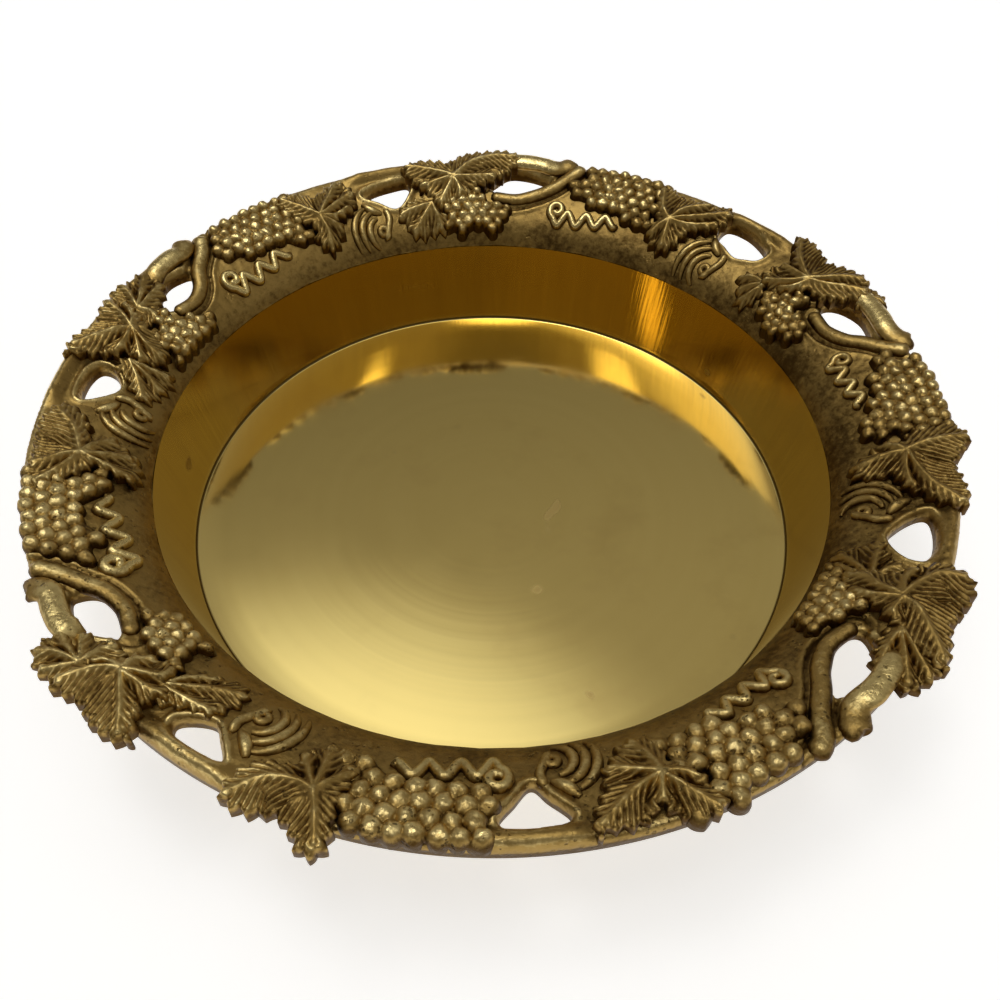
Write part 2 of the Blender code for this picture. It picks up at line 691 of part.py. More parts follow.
def main():
    remove_startup_objects()
    make_pan()
    make_band()
    seat = make_seat_cutter()
    leaf_brass = brass("leaf_brass", (0.52, 0.40, 0.17), 0.38)
    grape_brass = brass("grape_brass", (0.55, 0.42, 0.18), 0.35)
    vine_brass = brass("vine_brass", (0.50, 0.38, 0.16), 0.38)
    leaf_edges = []

    def add_leaves(kind, places, lobes):
        """Makes one kind of leaf and returns a cutter that keeps its clearance."""
        cutters = []
        made = []
        for number, (degrees, share, size) in enumerate(places, 1):
            name = f"{kind}_{number}"
            made.append(make_leaf(name, (degrees, share), lobes, size, seat, leaf_brass))
            edges = leaf_outline((degrees, share), lobes, size)
            outline = [point for edge in edges for point in edge]
            leaf_edges.append(outline)
            cutters.append(prism(name, grown(outline, LEAF_GAP)))
        return made, joined_cutter(f"{kind}_cutter", cutters)

    large, large_cutter = add_leaves("large_leaf", LARGE_LEAF_SHARES, LARGE_LEAF_LOBE_SHARES)
    back, back_cutter = add_leaves("back_leaf", BACK_LEAF_SHARES, BACK_LEAF_LOBE_SHARES)
    single, single_cutter = add_leaves(
        "single_leaf", SINGLE_LEAF_SHARES, SINGLE_LEAF_LOBE_SHARES,
    )
    for leaf in back:
        cut(leaf, large_cutter)

    lines = []

    def trim(rod, path, radius):
        """Cuts a rod back where leaves lie in its way and notes the room it takes."""
        for cutter in (large_cutter, back_cutter, single_cutter):
            cut(rod, cutter)
        lines.append((path, radius))

    def add_arched_rods(kind, paths, radius):
        for number, path in enumerate(paths, 1):
            rod = make_rod(f"{kind}_{number}", arched_rings(path, radius), vine_brass)
            trim(rod, path, radius)

    stems = [smooth_path([plan_point(*p) for p in shares], 2) for shares in STEM_SHARES]
    add_arched_rods("vine_stem", stems, STEM_RADIUS)
    add_arched_rods("spiral_tendril", [spiral_path(*p) for p in SPIRAL_SHARES], TENDRIL_RADIUS)
    add_arched_rods("curl_tendril", [curl_path(*p) for p in CURL_SHARES], TENDRIL_RADIUS)
    for number, shares in enumerate(TWIG_SHARES, 1):
        path = smooth_path([plan_point(*p) for p in shares], 2)
        growth = (1 - TWIG_START_SHARE) / (len(path) - 1)
        radii = [TWIG_RADIUS * (TWIG_START_SHARE + growth * k) for k in range(len(path))]
        twig = make_rod(
            f"cut_twig_{number}", round_rings(path, radii, RAIL_HEIGHT), vine_brass,
        )
        cut(twig, seat)
        trim(twig, path, TWIG_RADIUS)

    cutters = (large_cutter, back_cutter, single_cutter, seat)
    for kind, outlines in (("grape_bunch", BIG_BUNCH_SHARES), ("small_bunch", SMALL_BUNCH_SHARES)):
        for number, corners in enumerate(outlines, 1):
            outline = [plan_point(*corner) for corner in corners]
            make_bunch(f"{kind}_{number}", outline, leaf_edges, lines, cutters, grape_brass)


main()
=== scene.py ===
"""Looks of a brass trinket dish: a turned, polished pan in a pierced, cast grapevine border."""

import math

import bmesh
import bpy
import numpy as np
from mathutils import Matrix, Vector, geometry, kdtree, noise


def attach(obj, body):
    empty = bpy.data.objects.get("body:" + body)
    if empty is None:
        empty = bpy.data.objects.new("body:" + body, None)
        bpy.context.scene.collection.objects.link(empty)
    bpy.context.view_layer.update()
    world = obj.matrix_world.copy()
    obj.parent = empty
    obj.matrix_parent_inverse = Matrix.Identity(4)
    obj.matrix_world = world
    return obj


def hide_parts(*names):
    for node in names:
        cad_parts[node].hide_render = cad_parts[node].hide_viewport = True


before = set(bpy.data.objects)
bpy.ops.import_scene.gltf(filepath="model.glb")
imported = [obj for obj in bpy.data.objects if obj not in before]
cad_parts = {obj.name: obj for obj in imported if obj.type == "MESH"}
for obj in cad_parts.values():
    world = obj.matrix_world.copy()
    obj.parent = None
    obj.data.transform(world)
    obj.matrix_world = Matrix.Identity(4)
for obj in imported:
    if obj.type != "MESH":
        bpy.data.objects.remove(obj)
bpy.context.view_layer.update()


# Pan: sand-cast brass, turned in a lathe and buffed inside. The wall leans out a little and
# meets the floor in a crisp corner, along which a thin dark line of painted shade is laid.
MOUTH_RADIUS = 0.082
FLOOR_RADIUS = 0.0766
FLOOR_TOP = 0.003
BOWL_DEPTH = 0.0229
CORNER_RADIUS = 0.0007
PAN_FACETS = 240
# Radius and height of the outside, from the flat base to the rim under the border.
OUTSIDE = (
    (0.0774, 0), (0.0781, 0.0003), (0.0786, 0.0012), (0.0829, 0.0154),
    (0.0853, 0.0184), (0.0855, 0.0188), (0.0855, 0.0224),
)
WALL_START = (0.0005, 0.002)
# Heights above the floor, and reach past its edge, of a thin dark line of painted shade in the corner.
CORNER_SHADE_HEIGHTS = (0.00001, 0.0001, 0.0005, 0.0009)
CORNER_SHADE_SPREAD = (0.0009, 0.0014)
PAN_BUMP = 0.00002
FLOOR_COLOURS = ((0.86, 0.67, 0.23, 1), (0.90, 0.71, 0.255, 1))
# The wall's colours are darker and more amber than the floor's: partly lacquer tone, partly painted
# reflection of the bowl's own brass.
WALL_COLOURS = ((0.66, 0.43, 0.09, 1), (0.92, 0.67, 0.17, 1))
SMUDGE_COLOUR = (0.58, 0.40, 0.13, 1)
SPOT_COLOUR = (0.28, 0.16, 0.06, 1)
CORNER_SHADE_COLOUR = (0.11, 0.065, 0.018, 1)


def turned(name, profile, steps):
    """Mesh of a profile of (radius, height) points spun round the axis of the dish."""
    work = bmesh.new()
    turns = [2 * math.pi * k / steps for k in range(steps)]
    rings = []
    for radius, height in profile:
        if radius == 0:
            rings.append([work.verts.new((0, 0, height))])
            continue
        rings.append([
            work.verts.new((radius * math.cos(t), radius * math.sin(t), height)) for t in turns
        ])
    for low, high in zip(rings, rings[1:]):
        for k in range(steps):
            j = (k + 1) % steps
            if len(low) == 1:
                work.faces.new((low[0], high[k], high[j]))
            elif len(high) == 1:
                work.faces.new((low[k], low[j], high[0]))
            else:
                work.faces.new((low[k], low[j], high[j], high[k]))
    bmesh.ops.recalc_face_normals(work, faces=work.faces)
    return mesh_of(name, work)


def mesh_of(name, work, sharp=40):
    """Smooth-shaded mesh with hard edges above an angle in degrees."""
    mesh = bpy.data.meshes.new(name)
    work.to_mesh(mesh)
    work.free()
    mesh.shade_smooth()
    mesh.set_sharp_from_angle(angle=math.radians(sharp))
    return mesh


def placed(name, mesh, material, slot, *nodes):
    """Puts a finished mesh on the dish in place of its CAD nodes."""
    piece = bpy.data.objects.new(name, mesh)
    bpy.context.scene.collection.objects.link(piece)
    mesh.materials.clear()
    mesh.materials.append(material)
    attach(piece, "root")
    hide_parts(*nodes)


def arc(centre, radius, start, end, steps):
    """Points of a rounded corner in a profile, angles in degrees."""
    turns = [math.radians(start + (end - start) * k / steps) for k in range(steps + 1)]
    return [(centre[0] + radius * math.cos(t), centre[1] + radius * math.sin(t)) for t in turns]


class Wiring:
    """Adds nodes to a tree and joins them, so that a material reads from top to bottom."""

    def __init__(self, tree):
        self.tree = tree
        self.column = 0

    def add(self, kind, values=None, **settings):
        node = self.tree.nodes.new(kind)
        node.location = (self.column, 0)
        self.column += 180
        for key, value in settings.items():
            setattr(node, key, value)
        for key, value in (values or {}).items():
            socket = node.inputs[key]
            if isinstance(value, bpy.types.NodeSocket):
                self.join(value, socket)
            else:
                socket.default_value = value
        return node

    def join(self, source, socket):
        self.tree.links.new(source, socket)

    def maths(self, operation, first, second=0.0):
        return self.add("ShaderNodeMath", {0: first, 1: second}, operation=operation).outputs[0]

    def plus(self, first, second):
        return self.maths("ADD", first, second)

    def less(self, first, second):
        return self.maths("SUBTRACT", first, second)

    def times(self, first, second):
        return self.maths("MULTIPLY", first, second)

    def vectors(self, operation, values, output="Vector"):
        return self.add("ShaderNodeVectorMath", values, operation=operation).outputs[output]

    def blend(self, factor, first, second):
        node = self.add("ShaderNodeMix", {0: factor, 6: first, 7: second}, data_type="RGBA")
        return node.outputs[2]

    def ramp(self, value, low, high, to_low=0.0, to_high=1.0):
        return self.add("ShaderNodeMapRange", {
            "Value": value, "From Min": low, "From Max": high, "To Min": to_low, "To Max": to_high,
        }, interpolation_type="SMOOTHSTEP").outputs[0]

    def noise(self, place, scale, detail=3.0, roughness=0.5, output=0):
        return self.add("ShaderNodeTexNoise", {
            "Vector": place, "Scale": scale, "Detail": detail, "Roughness": roughness,
        }).outputs[output]

    def rings(self, radius, scale):
        return self.add("ShaderNodeTexNoise", {
            "W": radius, "Scale": scale, "Detail": 2.0,
        }, noise_dimensions="1D").outputs[0]


def new_metal(name):
    """All-metal material, the wiring of its tree and its shader."""
    material = bpy.data.materials.new(name)
    material.use_nodes = True
    shader = material.node_tree.nodes["Principled BSDF"]
    shader.inputs["Metallic"].default_value = 1
    return material, Wiring(material.node_tree), shader


def finished(wiring, shader, colour, rough, height, depth):
    """Joins a material's colour, roughness and relief to its shader."""
    bump = wiring.add("ShaderNodeBump", {"Height": height, "Distance": depth, "Strength": 1.0})
    wiring.join(colour, shader.inputs["Base Color"])
    wiring.join(rough, shader.inputs["Roughness"])
    wiring.join(bump.outputs[0], shader.inputs["Normal"])


def polished_brass():
    """Buffed brass with fine turning rings, finger smudges and a few brown spots."""
    material, wiring, shader = new_metal("polished_brass")
    place = wiring.add("ShaderNodeTexCoord").outputs["Object"]
    x, y, z = wiring.add("ShaderNodeSeparateXYZ", {0: place}).outputs
    radius = wiring.maths("SQRT", wiring.plus(wiring.times(x, x), wiring.times(y, y)))
    wide_rings = wiring.rings(radius, 180.0)
    fine_rings = wiring.rings(radius, 1500.0)
    turn = wiring.times(wiring.maths("ARCTAN2", y, x), 30.0)
    around = wiring.add("ShaderNodeCombineXYZ", {0: turn, 1: wiring.times(z, 14.0)}).outputs[0]
    streaks = wiring.noise(around, 3.0, 4.0)
    on_wall = wiring.ramp(z, *(FLOOR_TOP + start for start in WALL_START))
    # A thin dark, rougher line along the corner of wall and floor: painted shade in the corner.
    start, full, fades, gone = (FLOOR_TOP + height for height in CORNER_SHADE_HEIGHTS)
    painted_corner_shade = wiring.times(wiring.ramp(z, start, full), wiring.ramp(z, gone, fades))
    inner, outer = (FLOOR_RADIUS + spread for spread in CORNER_SHADE_SPREAD)
    painted_corner_shade = wiring.times(painted_corner_shade, wiring.ramp(radius, outer, inner))
    smudges = wiring.noise(place, 45.0, 4.0, 0.6)
    spots = wiring.ramp(wiring.noise(place, 95.0, 1.0), 0.74, 0.79)
    colour = wiring.blend(wide_rings, *FLOOR_COLOURS)
    # The wall takes its two colours in vertical streaks: painted reflection streaks over the lacquer tone.
    colour = wiring.blend(on_wall, colour, wiring.blend(streaks, *WALL_COLOURS))
    colour = wiring.blend(wiring.ramp(smudges, 0.5, 0.8, 0.0, 0.30), colour, SMUDGE_COLOUR)
    colour = wiring.blend(wiring.times(spots, 0.5), colour, SPOT_COLOUR)
    colour = wiring.blend(wiring.times(painted_corner_shade, 0.9), colour, CORNER_SHADE_COLOUR)
    rough = wiring.plus(wiring.ramp(smudges, 0.3, 0.8, 0.085, 0.14), wiring.times(spots, 0.25))
    rough = wiring.less(rough, wiring.times(on_wall, 0.045))
    rough = wiring.plus(rough, wiring.times(painted_corner_shade, 0.3))
    rings = wiring.plus(wiring.times(wide_rings, 0.5), wiring.times(fine_rings, 0.04))
    on_floor = wiring.less(1.0, on_wall)
    height = wiring.plus(wiring.times(rings, on_floor), wiring.times(streaks, on_wall))
    finished(wiring, shader, colour, rough, height, PAN_BUMP)
    return material


wall_lean = math.degrees(math.atan2(BOWL_DEPTH, MOUTH_RADIUS - FLOOR_RADIUS))
corner_shift = CORNER_RADIUS * math.tan(math.radians(wall_lean / 2))
corner_centre = (FLOOR_RADIUS - corner_shift, FLOOR_TOP + CORNER_RADIUS)
pan_profile = [
    (0, 0),
    *OUTSIDE,
    (MOUTH_RADIUS, FLOOR_TOP + BOWL_DEPTH),
    *arc(corner_centre, CORNER_RADIUS, wall_lean - 90, -90, 5),
    *[(FLOOR_RADIUS * share, FLOOR_TOP) for share in (0.9, 0.7, 0.5, 0.3, 0.1)],
    (0, FLOOR_TOP),
]
pan = turned("pan", pan_profile, PAN_FACETS)
placed("pan", pan, polished_brass(), "polished_brass", "bowl_pan")


# Border casting: a sand-cast ring with a plain cove inside and a round rail beside each opening,
# pierced between the leaves and the vine. It's left as cast, darkened, and rubbed bright on top.
# Places on it are an angle and a share of its width, from the mouth to the farthest leaf tip.
BORDER_WIDTH = 0.0328
BORDER_RISE = 0.0144
COVE_TURN = 12
RAIL_SHARES = (0.64, 0.775)
RAIL_HEIGHT = 0.0015
RAIL_REACH = (4.0, 3.0)
BAND_WALL = 0.0036
THIN_WALL = 0.0002
BAND_EDGE = 0.0012
SWELL_HEIGHT = 0.0007
SWELL_PLACE = (0.0011, 0.00075)
GROOVE_DEPTH = 0.0006
GROOVE_GAP = 0.0027
RIDGE_GAP = 0.0038
GROOVE_SPREAD = 0.0005
EDGE_REACH = 0.003
OPENING_REACH = 0.016
STEM_REACH = 0.022
BAND_PITCH = 0.00052
BACK_PITCHES = 6
BACK_RELIEF = 0.1
# Rows of an even triangle grid, as a share of its pitch.
ROW_STEP = 0.866
LINE_STEP = 0.0004
OPENING_SHARES = (
    ((20.2, 0.65), (16.5, 0.61), (16.1, 0.58), (16.9, 0.50), (19.0, 0.40), (20.9, 0.375), (24.0, 0.41),
     (25.8, 0.48), (25.2, 0.56), (23.2, 0.62)),
    ((48.8, 0.63), (45.5, 0.655), (42.0, 0.61), (40.3, 0.55), (40.5, 0.45), (42.0, 0.40), (44.0, 0.37),
     (46.5, 0.41), (48.8, 0.47)),
    ((87.5, 0.65), (84.0, 0.64), (80.5, 0.58), (80.3, 0.52), (82.0, 0.45), (85.5, 0.37), (89.5, 0.41),
     (91.0, 0.48), (89.7, 0.56)),
    ((113.4, 0.51), (111.5, 0.57), (108.0, 0.60), (105.3, 0.60), (105.5, 0.48), (108.3, 0.33),
     (111.0, 0.41)),
    ((151.5, 0.57), (148.0, 0.54), (147.3, 0.49), (148.0, 0.41), (150.5, 0.33), (153.0, 0.32),
     (155.8, 0.39), (155.0, 0.49)),
    ((178.0, 0.53), (174.5, 0.56), (171.5, 0.52), (171.5, 0.41), (173.8, 0.33), (176.0, 0.37)),
    ((217.0, 0.65), (213.2, 0.62), (212.5, 0.57), (213.2, 0.46), (216.2, 0.395), (219.2, 0.43),
     (220.6, 0.49), (219.3, 0.58)),
    ((241.8, 0.64), (239.5, 0.66), (236.0, 0.66), (234.7, 0.60), (236.0, 0.52), (238.2, 0.475),
     (240.0, 0.54)),
    ((278.3, 0.60), (275.5, 0.64), (272.0, 0.64), (271.0, 0.59), (272.6, 0.48), (274.6, 0.37),
     (276.2, 0.46)),
    ((316.0, 0.65), (312.0, 0.62), (311.2, 0.56), (312.5, 0.45), (316.0, 0.36), (320.0, 0.39),
     (321.0, 0.46), (319.2, 0.57)),
    ((342.2, 0.60), (339.5, 0.64), (336.5, 0.64), (334.5, 0.58), (335.0, 0.46), (337.7, 0.36),
     (340.3, 0.42), (342.3, 0.53)),
)
STEM_SHARES = (
    ((25.6, 0.365), (21.3, 0.345), (17.9, 0.41), (15.9, 0.51), (13.6, 0.62), (11.6, 0.76)),
    ((90.8, 0.36), (86.3, 0.335), (82.4, 0.395), (79.5, 0.495), (77.5, 0.61), (75.4, 0.75)),
    ((155.6, 0.32), (151.5, 0.295), (148.5, 0.355), (146.2, 0.475), (143.2, 0.59), (141.2, 0.72)),
    ((221.4, 0.41), (217.0, 0.36), (213.3, 0.41), (211.3, 0.505), (209.1, 0.61), (207.2, 0.76)),
    ((321.5, 0.385), (317.3, 0.33), (313.5, 0.385), (310.6, 0.49), (307.4, 0.61), (305.2, 0.73),
     (303.4, 0.77)),
)

opening_middles = [np.mean([degrees for degrees, _ in corners]) for corners in OPENING_SHARES]
edge_radius = MOUTH_RADIUS + BORDER_WIDTH * RAIL_SHARES[1]


def plan(degrees, share):
    """Plan position from an angle round the dish and a share of the border's width."""
    radius = MOUTH_RADIUS + BORDER_WIDTH * share
    return np.array((radius * math.cos(math.radians(degrees)), radius * math.sin(math.radians(degrees))))


def share_of(points):
    return (np.hypot(points[:, 0], points[:, 1]) - MOUTH_RADIUS) / BORDER_WIDTH


def band_height(points):
    """Height of the cove and band at plan points, without the rail."""
    share = np.maximum(share_of(points), 0)
    rise = BORDER_RISE * np.log1p(COVE_TURN * share) / math.log1p(COVE_TURN)
    return FLOOR_TOP + BOWL_DEPTH + rise


def band_slope(points):
    """Rise of the cove and band for each step outwards."""
    share = np.maximum(share_of(points), 0)
    return BORDER_RISE * COVE_TURN / (BORDER_WIDTH * (1 + COVE_TURN * share) * math.log1p(COVE_TURN))


def rail_lift(points):
    """Height of the rail, which is round beside an opening and dies out away from it."""
    step = (share_of(points) - RAIL_SHARES[0]) / (RAIL_SHARES[1] - RAIL_SHARES[0])
    turns = np.degrees(np.arctan2(points[:, 1], points[:, 0]))
    away = np.min([np.abs((turns - middle + 180) % 360 - 180) for middle in opening_middles], axis=0)
    fade = np.clip(1 - (away - RAIL_REACH[0]) / RAIL_REACH[1], 0.1, 1)
    return RAIL_HEIGHT * np.sin(math.pi * np.clip(step, 0, 1)) * fade


def curve_through(points, spacing, closed):
    """Smooth curve through plan points, resampled at an even spacing."""
    points = np.asarray(points)
    if closed:
        padded = np.vstack((points[-1:], points, points[:2]))
    else:
        padded = np.vstack((2 * points[:1] - points[1:2], points, 2 * points[-1:] - points[-2:-1]))
    steps = np.linspace(0, 1, 24, endpoint=False)[:, None]
    fine = []
    for a, b, c, d in zip(padded, padded[1:], padded[2:], padded[3:]):
        squared = 2 * a - 5 * b + 4 * c - d
        cubed = 3 * b - a - 3 * c + d
        fine.append(0.5 * (2 * b + (c - a) * steps + squared * steps ** 2 + cubed * steps ** 3))
    fine = np.vstack(fine + [fine[0][:1] if closed else padded[-2:-1]])
    run = np.concatenate(([0], np.cumsum(np.hypot(*np.diff(fine, axis=0).T))))
    marks = np.linspace(0, run[-1], max(3, int(round(run[-1] / spacing))) + 1)
    even = np.column_stack([np.interp(marks, run, fine[:, k]) for k in (0, 1)])
    return even[:-1] if closed else even


def curve_on_dish(corners, spacing, closed):
    """The same through places given by angle and share."""
    return curve_through([plan(*corner) for corner in corners], spacing, closed)


def inside(points, outline):
    """True for each plan point that lies inside a closed outline."""
    x, y = points[:, 0], points[:, 1]
    crossings = np.zeros(len(points), int)
    for (ax, ay), (bx, by) in zip(outline, np.roll(outline, -1, axis=0)):
        spans = (ay > y) != (by > y)
        if spans.any():
            crossings[spans] += x[spans] < ax + (y[spans] - ay) / (by - ay) * (bx - ax)
    return crossings % 2 == 1


def nearest(points, line, closed=False):
    """Distance of each plan point to a line of plan points, and how far along the line it is."""
    line = np.asarray(line)
    ends = np.roll(line, -1, axis=0) if closed else line[1:]
    starts = line if closed else line[:-1]
    best = np.full(len(points), np.inf)
    along = np.zeros(len(points))
    done = 0.0
    for start, end in zip(starts, ends):
        run = end - start
        length = math.hypot(*run)
        if length == 0:
            continue
        part = np.clip(((points - start) @ run) / length ** 2, 0, 1)
        gap = np.hypot(*(points - start - part[:, None] * run).T)
        closer = gap < best
        best[closer] = gap[closer]
        along[closer] = done + part[closer] * length
        done += length
    return best, along


def filled(loops, keep, pitch):
    """Even triangles between closed loops of plan points; the loops' own points come first."""
    border = np.vstack(loops)
    edges = []
    first = 0
    for loop in loops:
        count = len(loop)
        edges += [(first + k, first + (k + 1) % count) for k in range(count)]
        first += count
    low, high = border.min(0), border.max(0)
    rows = int((high[1] - low[1]) / (pitch * ROW_STEP)) + 1
    columns = int((high[0] - low[0]) / pitch) + 2
    grid = np.array([
        (low[0] + (column - (row % 2) / 2) * pitch, low[1] + row * pitch * ROW_STEP)
        for row in range(rows) for column in range(columns)
    ])
    grid = grid[keep(grid)]
    tree = kdtree.KDTree(len(border))
    for k, (x, y) in enumerate(border):
        tree.insert((x, y, 0), k)
    tree.balance()
    clear = [p for p in grid if tree.find((p[0], p[1], 0))[2] > pitch * 0.55]
    everything = np.vstack((border, np.array(clear).reshape(-1, 2)))
    result = geometry.delaunay_2d_cdt([Vector(p) for p in everything], edges, [], 0, 1e-10, False)
    points = np.array([tuple(p) for p in result[0]])
    triangles = np.array([tuple(t) for t in result[2]])
    return points, triangles[keep(points[triangles].mean(1))], edges


def relief_body(name, loops, keep, pitch, top, bottom):
    """Closed casting over plan loops: a finely modelled top, plain sides and a coarse underside.

    top gives the height and relief of plan points, and bottom gives their height.
    """
    points, triangles, edges = filled(loops, keep, pitch)
    rim = sum(len(loop) for loop in loops)
    back_points, back_triangles, _ = filled(loops, keep, pitch * BACK_PITCHES)
    heights, relief = top(points)
    back_heights = bottom(back_points)
    count = len(points)
    middle = heights[:rim] * 0.5 + back_heights[:rim] * 0.5
    verts = np.vstack((
        np.column_stack((points, heights)),
        np.column_stack((points[:rim], middle)),
        np.column_stack((back_points, back_heights)),
    ))
    faces = [tuple(t) for t in triangles]
    for a, b in edges:
        faces.append((a, b, count + b, count + a))
        faces.append((count + a, count + b, count + rim + b, count + rim + a))
    faces += [tuple(count + rim + t[::-1]) for t in back_triangles]
    mesh = bpy.data.meshes.new(name)
    mesh.from_pydata(verts.tolist(), [], faces)
    work = bmesh.new()
    work.from_mesh(mesh)
    bpy.data.meshes.remove(mesh)
    loose = [vert for vert in work.verts if not vert.link_faces]
    kept = [k for k, vert in enumerate(work.verts) if vert.link_faces]
    bmesh.ops.delete(work, geom=loose, context="VERTS")
    bmesh.ops.recalc_face_normals(work, faces=work.faces)
    mesh = mesh_of(name, work, 60)
    values = np.concatenate((relief, np.zeros(rim), np.full(len(back_points), BACK_RELIEF)))
    store_relief(mesh, values[kept])
    return mesh


def store_relief(mesh, values):
    """Keeps how high each point stands, 0 in a recess and 1 on a rubbed crest."""
    layer = mesh.attributes.new("relief", "FLOAT", "POINT")
    layer.data.foreach_set("value", np.clip(values, 0, 1).astype(np.float32))


def lumps(points, size, seed):
    """Soft unevenness of a sand mould, about -1 to 1."""
    return np.array([noise.noise((x / size, y / size, seed)) for x, y in points])


def rounded(room, radius):
    """Drop of a rounded edge as a share: 1 on the edge and 0 from its radius inwards."""
    return 1 - np.sqrt(1 - (1 - np.minimum(room / radius, 1)) ** 2)


def bell(values, middle, spread):
    """1 at the middle, dying out on both sides."""
    return np.exp(-((values - middle) / spread) ** 2)


PIT_WANDER = (0.0016, 0.0016, 0.0016)
# Near-black colour of the pits: painted shade inside pits that are only bumped in, with the patina in them.
PIT_SHADE_COLOUR = (0.035, 0.022, 0.010, 1)


def cast_group():
    """Shader group for darkened cast brass: brown in the recesses, rubbed bright on the crests.

    The side towards +X is a little darker, which is painted shade, and the side towards -Y is coarser and
    more pitted.
    """
    group = bpy.data.node_groups.new("darkened_casting", "ShaderNodeTree")
    colours = ("Crest Colour", "Cast Colour", "Recess Colour")
    sockets = [(name, "INPUT", "NodeSocketColor") for name in colours]
    sockets += [(name, "INPUT", "NodeSocketFloat") for name in ("Wear", "Pits")]
    sockets += [("Colour", "OUTPUT", "NodeSocketColor")]
    sockets += [(name, "OUTPUT", "NodeSocketFloat") for name in ("Roughness", "Height")]
    for name, way, kind in sockets:
        group.interface.new_socket(name, in_out=way, socket_type=kind)
    wiring = Wiring(group)
    given = wiring.add("NodeGroupInput").outputs
    place = wiring.add("ShaderNodeTexCoord").outputs["Object"]
    relief = wiring.add("ShaderNodeAttribute", attribute_name="relief").outputs["Fac"]
    x, y, _ = wiring.add("ShaderNodeSeparateXYZ", {0: place}).outputs
    near_side = wiring.ramp(y, 0.04, -0.06)
    broad = wiring.noise(place, 60.0, 3.0, 0.55)
    grain = wiring.noise(place, 700.0, 4.0, 0.65)
    wear_and_painted_shade = wiring.plus(relief, wiring.times(wiring.less(broad, 0.5), 0.55))
    wear_and_painted_shade = wiring.plus(wear_and_painted_shade, wiring.times(wiring.less(grain, 0.5), 0.8))
    # Painted shade: the casting turns darker towards +X.
    wear_and_painted_shade = wiring.less(wear_and_painted_shade, wiring.ramp(x, -0.04, 0.09, 0.0, 0.14))
    limit = wiring.less(1.0, wiring.times(given["Wear"], 0.5))
    high = wiring.ramp(wear_and_painted_shade, wiring.less(limit, 0.22), wiring.plus(limit, 0.22))
    low = wiring.ramp(wear_and_painted_shade, 0.0, 0.5)
    body = wiring.blend(low, given["Recess Colour"], given["Cast Colour"])
    body = wiring.blend(high, body, given["Crest Colour"])
    hammered = wiring.add("ShaderNodeTexNoise", {"Vector": place, "Scale": 420.0, "Detail": 2.0}).outputs
    shaken = wiring.vectors("MULTIPLY_ADD", {0: hammered[1], 1: PIT_WANDER, 2: place})
    cells = wiring.add("ShaderNodeTexVoronoi", {"Vector": shaken, "Scale": 950.0}, feature="F1")
    pit_here = wiring.ramp(wiring.noise(place, 230.0, 2.0, 0.6), 0.50, 0.64, 0.0, 0.34)
    pit = wiring.ramp(wiring.less(cells.outputs["Distance"], pit_here), 0.06, -0.10)
    pitted = wiring.times(wiring.ramp(near_side, 0.0, 1.0, 0.25, 1.0), given["Pits"])
    pit = wiring.times(pit, pitted)
    rough = wiring.less(wiring.ramp(grain, 0.3, 0.7, 0.32, 0.46), wiring.times(high, 0.16))
    height = wiring.plus(grain, wiring.times(hammered[0], 0.9))
    height = wiring.times(height, wiring.ramp(near_side, 0.0, 1.0, 0.5, 1.0))
    ends = wiring.add("NodeGroupOutput").inputs
    # The pits take the near-black colour, more of them towards -Y: painted shade in them, with their
    # patina.
    wiring.join(wiring.blend(wiring.times(pit, 0.65), body, PIT_SHADE_COLOUR), ends["Colour"])
    wiring.join(wiring.plus(rough, wiring.times(near_side, 0.06)), ends["Roughness"])
    wiring.join(wiring.less(height, wiring.times(pit, 1.6)), ends["Height"])
    return group


casting = cast_group()


def cast_brass(name, crest, cast, recess, wear, pits, bump_depth):
    material, wiring, shader = new_metal(name)
    finish = wiring.add("ShaderNodeGroup", {
        "Crest Colour": (*crest, 1), "Cast Colour": (*cast, 1), "Recess Colour": (*recess, 1),
        "Wear": wear, "Pits": pits,
    }, node_tree=casting).outputs
    finished(wiring, shader, finish["Colour"], finish["Roughness"], finish["Height"], bump_depth)
    return material


def ring(radius, spacing):
    count = int(2 * math.pi * radius / spacing)
    turns = np.arange(count) * 2 * math.pi / count
    return np.column_stack((np.cos(turns), np.sin(turns))) * radius


openings = [curve_on_dish(corners, LINE_STEP, True) for corners in OPENING_SHARES]
stems = [curve_on_dish(corners, LINE_STEP, False) for corners in STEM_SHARES]


def on_band(points):
    """True on the band: between the mouth and the edge, and in no opening."""
    radius = np.hypot(points[:, 0], points[:, 1])
    keep = (radius > MOUTH_RADIUS) & (radius < edge_radius)
    for outline in openings:
        near = np.hypot(*(points - outline.mean(0)).T) < OPENING_REACH
        hit = np.zeros(len(points), bool)
        hit[near] = inside(points[near], outline)
        keep &= ~hit
    return keep


def room_beside(points, lines, closed, reach, most):
    """Distance to the closest of some lines, each looked at within reach of its middle."""
    room = np.full(len(points), most)
    for line in lines:
        near = np.hypot(*(points - line.mean(0)).T) < reach
        if near.any():
            room[near] = np.minimum(room[near], nearest(points[near], line, closed)[0])
    return room


def edge_room(points):
    """Distance to the closest opening or to the outer edge."""
    room = room_beside(points, openings, True, OPENING_REACH, EDGE_REACH)
    return np.minimum(room, np.abs(edge_radius - np.hypot(points[:, 0], points[:, 1])))


def stem_gap(points):
    """Distance to the closest stem."""
    return room_beside(points, stems, False, STEM_REACH, 0.010)


def stem_groove(points):
    """Depth share of the groove along each stem, less the thin ridge that runs beside it."""
    gap = stem_gap(points)
    return bell(gap, GROOVE_GAP, GROOVE_SPREAD) - 0.6 * bell(gap, RIDGE_GAP, GROOVE_SPREAD)


def rim_swell(points):
    """Share of the raised rim round each opening, on the side of the bowl where no stem runs."""
    room = room_beside(points, openings, True, OPENING_REACH, 1.0)
    swell = bell(room, *SWELL_PLACE) * np.clip((0.66 - share_of(points)) / 0.08, 0, 1)
    return swell * np.clip((stem_gap(points) - 0.003) / 0.002, 0, 1)


